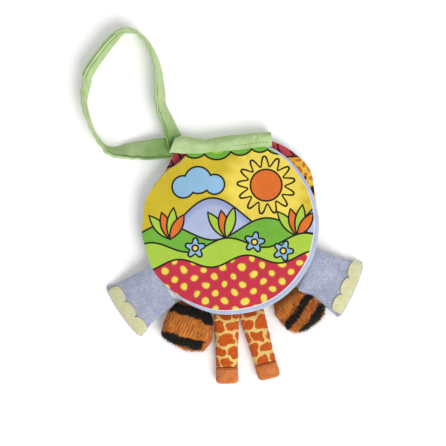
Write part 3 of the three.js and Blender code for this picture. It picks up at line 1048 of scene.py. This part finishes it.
# the section: shares across the band, and the half thickness there in mm
def bandSection(width, thickness, bead):
    halves = []
    for across in bandShares:
        fromEdge = (1 - across) * width
        nearest = min(across, 1 - across) * width
        rounding = math.sqrt(max(0.0, 1 - (1 - min(nearest / 0.8, 1.0)) ** 2))
        roll = bead * ridge(fromEdge - 0.9, 0.6) - 0.7 * bead * ridge(fromEdge - 2.3, 0.4)
        halves.append((across, (thickness / 2 + roll) * rounding))
    return halves + [(across, -half) for across, half in halves[-2:0:-1]]


def bandPiece(
    name, band, span, material, width=None, thickness=None, offset=0.0, wave=None, bead=None,
    cut=0.0, last=None, foot=None, pinch=None
):
    width = width or strap["width"]
    thickness = thickness or strap["thickness"]
    wave = strap["wave"] if wave is None else wave
    start, end = span
    count = max(12, int((end - start) / 1.4))
    section = bandSection(width, thickness, strap["bead"] if bead is None else bead)
    spokes = len(section)

    def spot(k, angle):
        share = min(max(k - 1, 0), count) / count
        if k in (0, count + 2):
            return share, 0.5, 0.0
        return (share, *section[round((angle + math.pi) / (2 * math.pi) * spokes) % spokes])

    def place(k, angle):
        along, across, through = spot(k, angle)
        distance = start + (end - start) * along
        point, heading, wide, normal = band.at(distance)
        if last and along > 0.8:
            share = easeStep((along - 0.8) / 0.2)
            wide = wide.lerp(last[0], share).normalized()
            normal = normal.lerp(last[1], share).normalized()
        still = easeStep(along * 5) * (easeStep((1 - along) * 8) if last or wave == 0 else 1.0)
        bow = wave * noise.noise(Vector((distance * 0.06, across * 1.5, offset)))
        flutter = noise.noise(Vector((distance * 0.16, 5.0, offset)))
        bow += 2.4 * wave * flutter * easeStep((across - 0.5) / 0.5)
        bow *= still
        edge = still * (0.35 * noise.noise(Vector((distance * 0.12, 9.0, across * 3))))
        if pinch:
            # outside the closed pads, this layer's edges lean to the other layer
            pinchStart, pinchEnd, towards, press = pinch
            closed = easeStep((distance - pinchStart) / 8) * easeStep((pinchEnd - distance) / 5 + 0.6)
            bow = bow * (1 - closed) + towards * closed * easeStep((abs(across - 0.5) - 0.36) / 0.12)
            # and its end lies against it
            bow -= press * easeStep((distance - pinchEnd + 8) / 7)
        cutHere = cut * (-0.3 if across > 0.5 else 1.0)
        shift = heading * (cutHere * (across - 0.5) * width * (1 - along * 6)) if along < 1 / 6 else Vector()
        spread = point + wide * ((across - 0.5) * width + edge) + shift
        if foot and distance < foot["reach"]:
            part = distance / foot["reach"]
            joinPoint, joinHeading, joinWide, _ = band.at(foot["reach"])
            join = joinPoint + joinWide * ((across - 0.5) * width)
            root = Vector(rowAt(foot["line"], across))
            knee = join - joinHeading * foot["reach"] * foot["knee"]
            spread = root * (1 - part) ** 2 + knee * (2 * part * (1 - part)) + join * part**2
            spread += wide * edge * part
        return spread + normal * (offset + bow + through)

    maps = {"cloth": lambda k, angle: (start + (end - start) * spot(k, angle)[0], spot(k, angle)[1] * width)}
    return makePiece(name, turned(count + 3, spokes, place, (True, True), maps), material, 60)


def makeStrap():
    lower = Band([loopPlace(row) for row in strap["lower"]], [row[2] for row in strap["lower"]])
    step = lower.length / 26
    overlap = round(strap["overlap"] / step) * step
    tabSpan = (lower.length - overlap, lower.length)
    endPlace, endHeading, endWidth, endNormal = lower.at(lower.length)
    gap = strap["clearance"]
    tabOffset = -(strap["thickness"] + 2 * strap["padThickness"] + 3 * gap)
    upperEnd = endPlace + endNormal * tabOffset - endHeading * strap["lap"]
    upper = Band(
        [loopPlace(row) for row in strap["upper"]] + [upperEnd],
        [row[2] for row in strap["upper"]] + [180 - strap["lower"][-1][2]],
    )
    slant = (binding["foldLeft"] - binding["lipLeft"]) / binding["depth"]
    pivot = Vector(strap["pivot"])
    bend = ("spine", pivot, pivot + Vector(strap["leaves"]) * strap["bendLength"])
    material = materials["strap"]
    lean = strap["padThickness"] + 0.15
    pinch = (tabSpan[0], tabSpan[1], -lean, 1.9)
    piece = bandPiece("strapLower", lower, (0, lower.length), material, cut=slant, pinch=pinch)
    attach(piece, ["strap_lower"], "strap", bend)
    # the upper half's foot runs down the binding's slanted end and round its corner
    foot = {
        "line": [
            (0, -37.3, 80.9, 6.0), (0.3, -41.8, 80.6, 8.4), (0.45, -43.2, 78.2, 9.9), (1, -48.6, 66.6, 12.4)
        ],
        "reach": 24.0,
        "knee": 0.45,
    }
    last = (endWidth, -endNormal)
    piece = bandPiece("strapUpper", upper, (0, upper.length), material, last=last, foot=foot)
    attach(piece, ["strap_upper"], "strap", bend)
    pinch = (tabSpan[0] - 8, tabSpan[1], lean, 0.0)
    tabLength = (tabSpan[0] + strap["tabShort"], tabSpan[1])
    piece = bandPiece("strapTab", lower, tabLength, material, None, 1.1, tabOffset, 0.0, 0.0, pinch=pinch)
    tabPoint = endPlace + endNormal * tabOffset
    bend = ("strap", tabPoint, tabPoint - endHeading * 6)
    attach(piece, ["strap_tab"], "tab", bend)
    padSpan = (tabSpan[0] + step, tabSpan[1] - step)
    padWidth = strap["width"] - 2 * strap["padMargin"]
    loopOffset = -(strap["thickness"] + strap["padThickness"]) / 2 - gap
    hookOffset = loopOffset - strap["padThickness"] - gap
    for kind, offset, body in (("loop", loopOffset, "strap"), ("hook", hookOffset, "tab")):
        name, thickness = f"{kind}Pad", strap["padThickness"]
        piece = bandPiece(name, lower, padSpan, materials[name], padWidth, thickness, offset, 0.0, 0.0)
        attach(piece, [f"{kind}_pad"], body)
        padSize = ((padSpan[1] - padSpan[0]) * metresPerMm, padWidth * metresPerMm)


def hookLook(wire):
    x, y = flatPlace(wire)
    hooks = length2(x.wrap(1.3), y.wrap(1.3)).under(0.36, 0.15)
    return {
        "Base Color": hooks.mixed(colour(120, 176, 92), colour(186, 226, 160)),
        "Roughness": 0.55,
        "Normal": bump(wire, hooks, 0.9, 0.7),
    }


materials["loopPad"] = makeMaterial(
    "loopPad", napLook(cloudyPaint(colour(166, 214, 132), colour(140, 196, 108)), 1.4, 1.4, 0.3)
)
materials["hookPad"] = makeMaterial("hookPad", hookLook)
makeStrap()
print("strap made")

# legs: each leaves its leaf's rim at root degrees and runs along heading
# profile rows: share along, share of the width, share of the thickness, share of the way down to the table
# fuller: how far one side stands out, where along the leg, and over what length
legs = {
    "rootRadius": 76.0,
    "elephant": {
        "body": "cover", "seam": 15.6, "rest": 3.8, "length": 43.4, "thickness": 8.0, "width": 52.0,
        "profile": [(0, 0.73, 0.18, 0), (0.12, 0.74, 0.62, 0.1), (0.35, 0.78, 0.92, 0.33),
                    (0.65, 0.86, 1, 0.66), (0.85, 0.95, 0.95, 0.88), (0.95, 1, 0.66, 0.97),
                    (1, 0.95, 0.42, 1)],
        "wrinkle": 0.7, "roundness": 2.1, "bulge": 2.2,
        "left": {"root": 217.2, "heading": 211.5, "roll": 6.0},
        "right": {"root": -33.2, "heading": -28.5, "roll": -6.0},
    },
    "tiger": {
        "body": "back", "seam": 3.0, "rest": 10.4, "length": 34.5, "thickness": 19.6, "width": 40.0,
        "profile": [(0, 0.7, 0.07, 0), (0.14, 0.88, 0.5, 0.42), (0.34, 0.98, 0.86, 0.84), (0.58, 1, 1, 1),
                    (0.8, 0.96, 0.92, 0.97), (0.94, 0.82, 0.72, 0.93), (1, 0.62, 0.45, 0.9)],
        "wrinkle": 0.6, "roundness": 2.2,
        "left": {"root": 243.8, "heading": 242.6, "roll": 0.0, "fuller": (3.6, 21.5, 8.5)},
        "right": {"root": -55.5, "heading": -55.5, "roll": 0.0, "width": 33.5, "length": 32.5, "bend": 5.5},
    },
    "giraffe": {
        "body": "spine", "seam": 9.3, "rest": 6.1, "length": 46.0, "thickness": 12.0, "width": 22.0,
        "profile": [(0, 1, 0.13, 0), (0.14, 1, 0.66, 0.3), (0.36, 0.97, 0.94, 0.75), (0.68, 0.9, 1, 1),
                    (1, 0.86, 0.96, 1)],
        "wrinkle": 0.4, "roundness": 2.2,
        "left": {"root": 263.9, "heading": 267.2, "roll": 0.0},
        "right": {"root": -79.7, "heading": -79.7, "roll": 0.0, "bend": 1.2},
    },
}
hoof = {
    "offset": 45.8, "length": 14.5, "thickness": 12.2, "width": 19.4,
    "profile": [(0, 0.98, 0.98, 1), (0.3, 1, 1, 1), (0.7, 1, 0.98, 1), (0.93, 0.93, 0.85, 0.98),
                (1, 0.84, 0.66, 0.96)],
}


def legOf(animal, side):
    leg = {**legs[animal], **legs[animal][side], "offset": 0.0, "animal": animal, "side": side}
    root, heading = math.radians(leg["root"]), math.radians(leg["heading"])
    radius = legs["rootRadius"]
    leg["start"] = Vector((radius * math.cos(root), radius * math.sin(root), leg["seam"]))
    leg["axis"] = Vector((math.cos(heading), math.sin(heading), 0))
    leg["aside"] = Vector((-math.sin(heading), math.cos(heading), 0))
    leg["seed"] = leg["root"] * 0.37
    return leg


# a flat foot's end is rounded out in its middle
def soleBulge(leg, share, sideways):
    return leg.get("bulge", 0.0) * share**3 * (1 - min(abs(sideways) / (leg["width"] / 2), 1.0) ** 2)


def legPoint(leg, share, angle, setIn=0.0, ends=(1.2, 3.0), relief=1.0):
    # share runs from the root to the tip, and angle goes round the section from its side seam
    wide, thick, down = rowAt(leg["profile"], share)
    distance = leg["offset"] + share * leg["length"]
    halfWidth = leg["width"] * wide / 2 - setIn
    swing = leg.get("bend", 0.0) * (distance / legs[leg["animal"]]["length"]) ** 1.5
    most, fullest, spread = leg.get("fuller", (0.0, 0.0, 1.0))
    swing += most * max(0.0, math.cos(angle)) * ridge(distance - fullest, spread)
    halfThick = max(leg["thickness"] * thick / 2 - setIn, 0.12)
    for fromEnd, bend in ((share * leg["length"], ends[0]), ((1 - share) * leg["length"], ends[1])):
        if fromEnd < bend:
            past = 1 - fromEnd / bend
            arc = math.sqrt(max(0.0, 1 - past * past))
            halfThick = max(halfThick * arc, 0.1)
            halfWidth -= bend * (1 - arc)
    power = 2 / leg["roundness"]
    sideways = halfWidth * math.copysign(abs(math.cos(angle)) ** power, math.cos(angle))
    rise = halfThick * math.copysign(abs(math.sin(angle)) ** power, math.sin(angle))
    tilt = math.tan(math.radians(leg["roll"]))
    distance += soleBulge(leg, share, sideways)
    place = leg["start"] + leg["axis"] * distance + leg["aside"] * (sideways + swing)
    place.z += (leg["rest"] - leg["seam"]) * down + sideways * tilt * down
    folds = noise.noise(Vector((distance * 0.09, sideways * 0.05, leg["seed"] + rise * 0.05)))
    small = noise.noise(Vector((distance * 0.22, sideways * 0.16, leg["seed"] + 5)))
    fade = easeStep(share * 5) * min(1.0, halfThick / 3)
    place.z += rise + relief * leg["wrinkle"] * fade * (folds + 0.45 * small) * math.sin(angle)
    place += leg["aside"] * (relief * 0.5 * fade * small * math.cos(angle))
    place.z = max(place.z, setIn + 0.15)
    return place


def endShares(count, ends, length):
    # closer rings at the rounded ends
    first, last = ends[0] / length, ends[1] / length
    near = 6
    head = [first * (1 - math.cos(math.pi / 2 * k / near)) for k in range(near)]
    tail = [1 - last * (1 - math.sin(math.pi / 2 * k / near)) for k in range(near + 1)]
    middle = [t for t in (k / (count - 1) for k in range(count)) if first * 1.2 < t < 1 - last * 1.15]
    return head + middle + tail


def legBody(name, leg, material, setIn=0.0, ends=(1.2, 3.0), relief=1.0, rings=40, spokes=56):
    shares = endShares(rings, ends, leg["length"])
    last = len(shares) + 1

    def place(k, angle):
        if k in (0, last):
            tip = shares[0 if k == 0 else -1]
            over, under = [legPoint(leg, tip, math.pi / 2 * way, setIn, ends, relief) for way in (1, -1)]
            return (over + under) / 2
        return legPoint(leg, shares[k - 1], angle, setIn, ends, relief)

    def flat(k, angle):
        share = shares[min(max(k - 1, 0), len(shares) - 1)]
        return (share * leg["length"], 100.0 * math.cos(angle))

    mesh = turned(len(shares) + 2, spokes, place, (True, True), {"cloth": flat})
    return makePiece(name, mesh, material, 60)


# the bend is between 0.5 mm before the root and 7 mm past it
def legBend(leg):
    return (leg["body"], leg["start"] - leg["axis"] * 0.5, leg["start"] + leg["axis"] * 7.0)


def sideName(side):
    return side.capitalize()


def makeStuffing(leg, setIn):
    name = f"{leg['animal']}Stuffing{sideName(leg['side'])}"
    shorter = {**leg, "length": leg["length"] - setIn}
    piece = legBody(name, shorter, materials["stuffing"], setIn, (6.0, 4.0), 0.7, 20, 28)
    node = f"{leg['animal']}_leg_{leg['side']}_stuffing"
    attach(piece, [node], f"{leg['animal']}_{leg['side']}")


materials["stuffing"] = makeMaterial(
    "stuffing", napLook(cloudyPaint(colour(248, 247, 243), colour(236, 234, 228)), 1.1, 1.2, 0.2)
)


# the cloth solver swells a stuffed piece between the parts of it that are sewn down
stuffed = {
    "scale": 10.0,  # the solver works better on a larger copy
    "frames": 18,
    "furryFrames": 9,
    "pressure": 4.0,
    "slack": -0.03,
    "most": 1.1,  # mm that a point may move
    "inwards": 0.3,  # share of a move that is kept where it goes inwards
    "floor": 0.15,
}


def swell(piece, leg, sewn, frames):
    mesh = piece.data
    before = [vert.co.copy() for vert in mesh.vertices]
    alongs = [(point / metresPerMm - leg["start"]).dot(leg["axis"]) for point in before]
    mesh.transform(Matrix.Scale(stuffed["scale"], 4))
    group = piece.vertex_groups.new(name="sewn")
    group.add([k for k, along in enumerate(alongs) if not sewn[0] < along < sewn[1]], 1.0, "REPLACE")
    cloth = piece.modifiers.new("stuffed", "CLOTH")
    cloth.settings.vertex_group_mass = "sewn"
    cloth.settings.use_pressure = True
    cloth.settings.uniform_pressure_force = stuffed["pressure"]
    cloth.settings.shrink_min = stuffed["slack"]
    cloth.settings.effector_weights.gravity = 0
    cloth.collision_settings.use_collision = False
    cloth.point_cache.frame_end = frames
    stage = bpy.context.scene
    for frameNumber in range(1, frames + 1):
        stage.frame_set(frameNumber)
    swollen = piece.evaluated_get(bpy.context.evaluated_depsgraph_get()).data
    moves = [vert.co / stuffed["scale"] - start for vert, start in zip(swollen.vertices, before)]
    piece.modifiers.clear()
    piece.vertex_groups.clear()
    most = stuffed["most"] * metresPerMm
    print(piece.name, "swells by up to", round(max(move.length for move in moves) / metresPerMm, 2), "mm")
    for vert, start, move in zip(mesh.vertices, before, moves):
        # the further a point moved, the more it is held back, and inwards most
        share = most / (most + move.length)
        vert.co = start + move * (share if move.dot(vert.normal) > 0 else share * stuffed["inwards"])
        vert.co.z = max(vert.co.z, min(start.z, stuffed["floor"] * metresPerMm))
    mesh.update()
    stage.frame_set(1)


# elephant legs: flat plush feet with felt toenails
def elephantPattern(wire, place, along, across):
    plush = speckle(wire, place, 0.09, 3.0).ease(0.3, 0.7).mixed(colour(210, 214, 234), colour(186, 192, 216))
    tips = speckle(wire, place, 0.75, 4.0, 0.8).ease(0.36, 0.64)
    pile = tips.mixed(colour(208, 211, 217), colour(255, 255, 255))
    _, side = flatPlace(wire)
    seam = side.size().ease(99.2, 99.9)
    return seam.mixed(plush.times(pile), colour(214, 214, 216))


toenails = {
    "depth": 11.0,
    "thickness": 1.0,
    "gap": 0.35,
    "count": 3,
    "end": 0.985,  # share of the leg's length
    "from": -0.86,  # shares of half the leg's width
    "to": 0.97,
    "valley": 0.62,  # depth between two nails, as a share
}


def legTopAt(leg, distance, sideways):
    wide, thick, down = rowAt(leg["profile"], distance / leg["length"])
    half = leg["width"] * wide / 2
    across = min(abs(sideways) / half, 0.985)
    rise = leg["thickness"] * thick / 2 * (1 - across ** leg["roundness"]) ** (1 / leg["roundness"])
    tilt = math.tan(math.radians(leg["roll"]))
    return leg["seam"] + (leg["rest"] - leg["seam"]) * down + rise + sideways * tilt * down


def makeToenails(leg):
    half = leg["width"] / 2
    low, high = toenails["from"], toenails["to"]
    end = leg["length"] * toenails["end"]

    def spot(across, inward):
        sideways = half * (low + (high - low) * across)
        phase = ((across * toenails["count"]) % 1) * 2 - 1
        bulge = toenails["valley"] + (1 - toenails["valley"]) * math.sqrt(max(0.0, 1 - phase * phase))
        return end - toenails["depth"] * bulge * inward, sideways

    def place(across, inward):
        distance, sideways = spot(across, inward)
        out = distance + soleBulge(leg, distance / leg["length"], sideways)
        point = leg["start"] + leg["axis"] * out + leg["aside"] * sideways
        wrinkle = 0.15 * noise.noise(Vector((distance * 0.2, sideways * 0.2, leg["seed"])))
        point.z = legTopAt(leg, distance, sideways) + toenails["gap"] + toenails["thickness"] + wrinkle
        return point

    mesh = facing(laid(96, 16, place, {"cloth": spot}), (0, 0, 1))
    piece = makePiece(f"elephantToenails{sideName(leg['side'])}", mesh, materials["felt"])
    thicken(piece, toenails["thickness"], 0.3)
    attach(piece, [f"elephant_toenails_{leg['side']}"], f"elephant_{leg['side']}")
    (high - low) * half * metresPerMm
    (high - low) * half * toenails["depth"] * 0.9 * 1e-6


materials["felt"] = makeMaterial(
    "toenailFelt", napLook(cloudyPaint(colour(238, 236, 190), colour(228, 226, 174), 0.2), 1.8, 1.0, 0.2)
)
for side in ("left", "right"):
    leg = legOf("elephant", side)
    look = napLook(legPaint(leg, elephantPattern), 2.2, 0.8, 0.35)
    material = makeMaterial(f"elephantPlush{sideName(side)}", look)
    piece = legBody(f"elephantLeg{sideName(side)}", leg, material, ends=(1.2, 2.4))
    swell(piece, leg, (4.0, leg["length"] - toenails["depth"] - 1.5), stuffed["frames"])
    attach(piece, [f"elephant_leg_{side}"], f"elephant_{side}", legBend(leg))
    makeStuffing(leg, 2.6)
    makeToenails(leg)
print("elephant legs made")

# tiger legs: long-haired plush, with dark stripes across the leg
fur = {
    "count": 12500,  # blades on one leg
    "length": (3.0, 5.6),
    "radius": 0.21,
    "lean": 0.4,
    "stray": 0.2,
    "tuft": 0.9,
    "rooted": 0.35,  # mm into the leg
    "lowest": 0.4,  # mm above the table
}


def turnTo(direction):
    return direction.to_track_quat("Z", "Y").to_matrix().to_4x4()


def tigerPattern(stripes):
    def pattern(wire, place, along, across):
        waver = (speckle(wire, place, 0.09, 3.0) - 0.5) * 9
        fleck = (speckle(wire, place, 0.5, 3.0) - 0.5) * 5
        lines = wire.node("ShaderNodeCombineXYZ", None, {0: along * 0.14, 1: across * 0.8})
        streak = speckle(wire, lines, 1.0, 3.0, 0.65)
        orange = streak.ease(0.36, 0.62).mixed(colour(224, 114, 34), colour(255, 164, 72))
        strand = speckle(wire, place, 1.2, 2.0).ease(0.56, 0.8).mixed(orange, colour(252, 196, 120))
        dark = None
        for middle, width, slant, low, high in stripes:
            band = (along - middle + across * slant + waver + fleck).size().under(width / 2, 0.9)
            # a stripe fades out before its ends
            ends = (across + waver + fleck - (low + high) / 2).size().under((high - low) / 2, 1.2)
            band = band * ends
            dark = band if dark is None else dark.most(band)
        return dark.mixed(strand, colour(34, 29, 24))

    return pattern


def makeFur(piece, leg, seed, material):
    draw = random.Random(seed)
    mesh = piece.data
    areas = [polygon.area for polygon in mesh.polygons]
    picked = draw.choices(range(len(areas)), areas, k=fur["count"])
    blade = bmesh.new()
    bmesh.ops.create_cone(blade, cap_ends=True, segments=3, radius1=1, radius2=0.08, depth=1)
    bmesh.ops.translate(blade, verts=blade.verts, vec=(0, 0, 0.5))
    bmesh.ops.bisect_plane(
        blade, geom=blade.verts[:] + blade.edges[:] + blade.faces[:], plane_co=(0, 0, 0.5), plane_no=(0, 0, 1)
    )
    for vert in blade.verts:
        vert.co.x += 0.6 * vert.co.z**2
    matrices = []
    for number in picked:
        polygon = mesh.polygons[number]
        corners = [mesh.vertices[k].co / metresPerMm for k in polygon.vertices]
        weights = [draw.random() + 0.05 for _ in corners]
        root = sum((c * w for c, w in zip(corners, weights)), Vector()) / sum(weights)
        share = (root - leg["start"]).dot(leg["axis"]) / leg["length"]
        flow = leg["axis"] + Vector([draw.gauss(0, fur["stray"]) for _ in range(3)])
        flow += noise.noise_vector(root * 0.16 + Vector((seed, 0, 0))) * fur["tuft"]
        direction = (flow + polygon.normal * (fur["lean"] + 0.25 * share)).normalized()
        length = draw.uniform(*fur["length"]) * (0.45 + 0.55 * min(1.0, share * 4))
        radius = fur["radius"] * draw.uniform(0.7, 1.25)
        turn = turnTo(direction) @ Matrix.Rotation(draw.uniform(0, 2 * math.pi), 4, "Z")
        start = root - polygon.normal * fur["rooted"]
        lowest = (fur["lowest"] - start.z) / length
        if direction.z < lowest:
            # a blade that would reach the table lies along it
            level = Vector((direction.x, direction.y, 0)).normalized()
            direction = level * math.sqrt(1 - lowest * lowest) + Vector((0, 0, lowest))
            turn = turnTo(direction)
        matrices.append(Matrix.Translation(start) @ turn @ Matrix.Diagonal((radius, radius, length, 1)))
    coat = makePiece(f"tigerFur{sideName(leg['side'])}", scatter(blade, matrices), material, 180)
    start, end = legBend(leg)[1:]
    tuple(start * metresPerMm)
    tuple(end * metresPerMm)
    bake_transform(coat)


# each row: middle along the leg, width, slant, and from where to where across it
stripeRows = {
    "left": ((5.4, 8.6, 0.09, -30, 30), (31.0, 8.8, 0.2, -30, 18.5)),
    "right": ((18.0, 7.0, 0.3, -30, 30), (33.0, 8.0, 0.25, -9, 30)),
}
for side, stripes in stripeRows.items():
    leg = legOf("tiger", side)
    look = napLook(legPaint(leg, tigerPattern(stripes)), 1.2, 1.2, 0.2)
    material = makeMaterial(f"tigerPlush{sideName(side)}", look)
    piece = legBody(f"tigerLeg{sideName(side)}", leg, material, ends=(1.2, 6.0))
    swell(piece, leg, (3.0, leg["length"] - 4.0), stuffed["furryFrames"])
    attach(piece, [f"tiger_leg_{side}"], f"tiger_{side}", legBend(leg))
    makeFur(piece, leg, 7 if side == "left" else 8, material)
    makeStuffing(leg, 2.8)
print("tiger legs made")


# giraffe legs: patched plush with a suede hoof
def giraffePattern(wire, place, along, across):
    wobbleX = along + (speckle(wire, place, 0.075, 2.0) - 0.5) * 13
    wobbleY = across + (speckle(wire, place, 0.085, 2.0) - 0.5) * 15
    patch, deep, line = colour(226, 106, 36), colour(202, 84, 26), colour(249, 214, 130)
    return patchPattern(wire, wobbleX, wobbleY, patch, deep, line, (10.8, 13.4), 1.7)


def suedePattern(wire, place, along, across):
    nap = speckle(wire, place, 0.14, 3.0).ease(0.34, 0.66).mixed(colour(232, 142, 82), colour(216, 122, 64))
    return (along - 47.4).size().under(0.4, 0.4).mixed(nap, colour(188, 98, 48))


for side in ("left", "right"):
    leg = legOf("giraffe", side)
    look = napLook(legPaint(leg, giraffePattern), 1.8, 0.7, 0.25)
    material = makeMaterial(f"giraffePlush{sideName(side)}", look)
    piece = legBody(f"giraffeLeg{sideName(side)}", leg, material, ends=(1.2, 1.5), rings=44, spokes=48)
    swell(piece, leg, (3.0, 43.5), stuffed["frames"])
    attach(piece, [f"giraffe_leg_{side}"], f"giraffe_{side}", legBend(leg))
    shoe = {**leg, **hoof}
    look = napLook(legPaint(leg, suedePattern), 2.6, 0.5, 0.15)
    material = makeMaterial(f"hoofSuede{sideName(side)}", look)
    piece = legBody(f"giraffeHoof{sideName(side)}", shoe, material, ends=(1.0, 2.6), rings=20, spokes=48)
    attach(piece, [f"giraffe_hoof_{side}"], f"giraffe_{side}")
    makeStuffing(leg, 2.6)
print("giraffe legs made")

# table, light and world
light = {
    "sunPower": 2.1,
    "sunFrom": (0.6, -0.85, 1.15),
    "sunSpread": 36.0,  # degrees
    "worldPower": 0.56,
    "tableGlow": 0.12,
    "table": 4.0,  # metres
}


def rayIs(wire, kind):
    return wire.node("ShaderNodeLightPath", None, None, f"Is {kind} Ray")


def tableLook(wire):
    mottled = speckle(wire, spacePlace(wire), 0.01).ease(0.2, 0.8)
    return {
        "Base Color": mottled.mixed(colour(250, 250, 250), colour(252, 252, 252)),
        "Roughness": 0.9,
        "Specular IOR Level": 0.1,
        "Emission Color": rayIs(wire, "Camera").mixed(colour(0, 0, 0), colour(255, 255, 255)),
        "Emission Strength": light["tableGlow"],
    }


def makeTable():
    mesh = bmesh.new()
    bmesh.ops.create_grid(mesh, x_segments=1, y_segments=1, size=light["table"] / metresPerMm / 2)
    mesh.loops.layers.uv.new("cloth")
    table = makePiece("table", mesh, makeMaterial("tablePaper", tableLook))


def makeLight():
    sun = bpy.data.lights.new("window", "SUN")
    sun.energy = light["sunPower"]
    sun.angle = math.radians(light["sunSpread"])
    lamp = bpy.data.objects.new("window", sun)
    lamp.rotation_euler = Vector(light["sunFrom"]).to_track_quat("Z", "Y").to_euler()
    bpy.context.scene.collection.objects.link(lamp)
    world = bpy.data.worlds.new("room")
    world.use_nodes = True
    background = world.node_tree.nodes["Background"]
    wire = Wire(world.node_tree)
    seen = rayIs(wire, "Camera").most(rayIs(wire, "Glossy")).most(rayIs(wire, "Transmission"))
    strength = seen * (1 - light["worldPower"]) + light["worldPower"]
    world.node_tree.links.new(strength.socket, background.inputs["Strength"])
    background.inputs["Color"].default_value = (1, 1, 1, 1)
    bpy.context.scene.world = world


makeTable()
makeLight()
bpy.context.scene.view_settings.view_transform = "Standard"
print("light made")
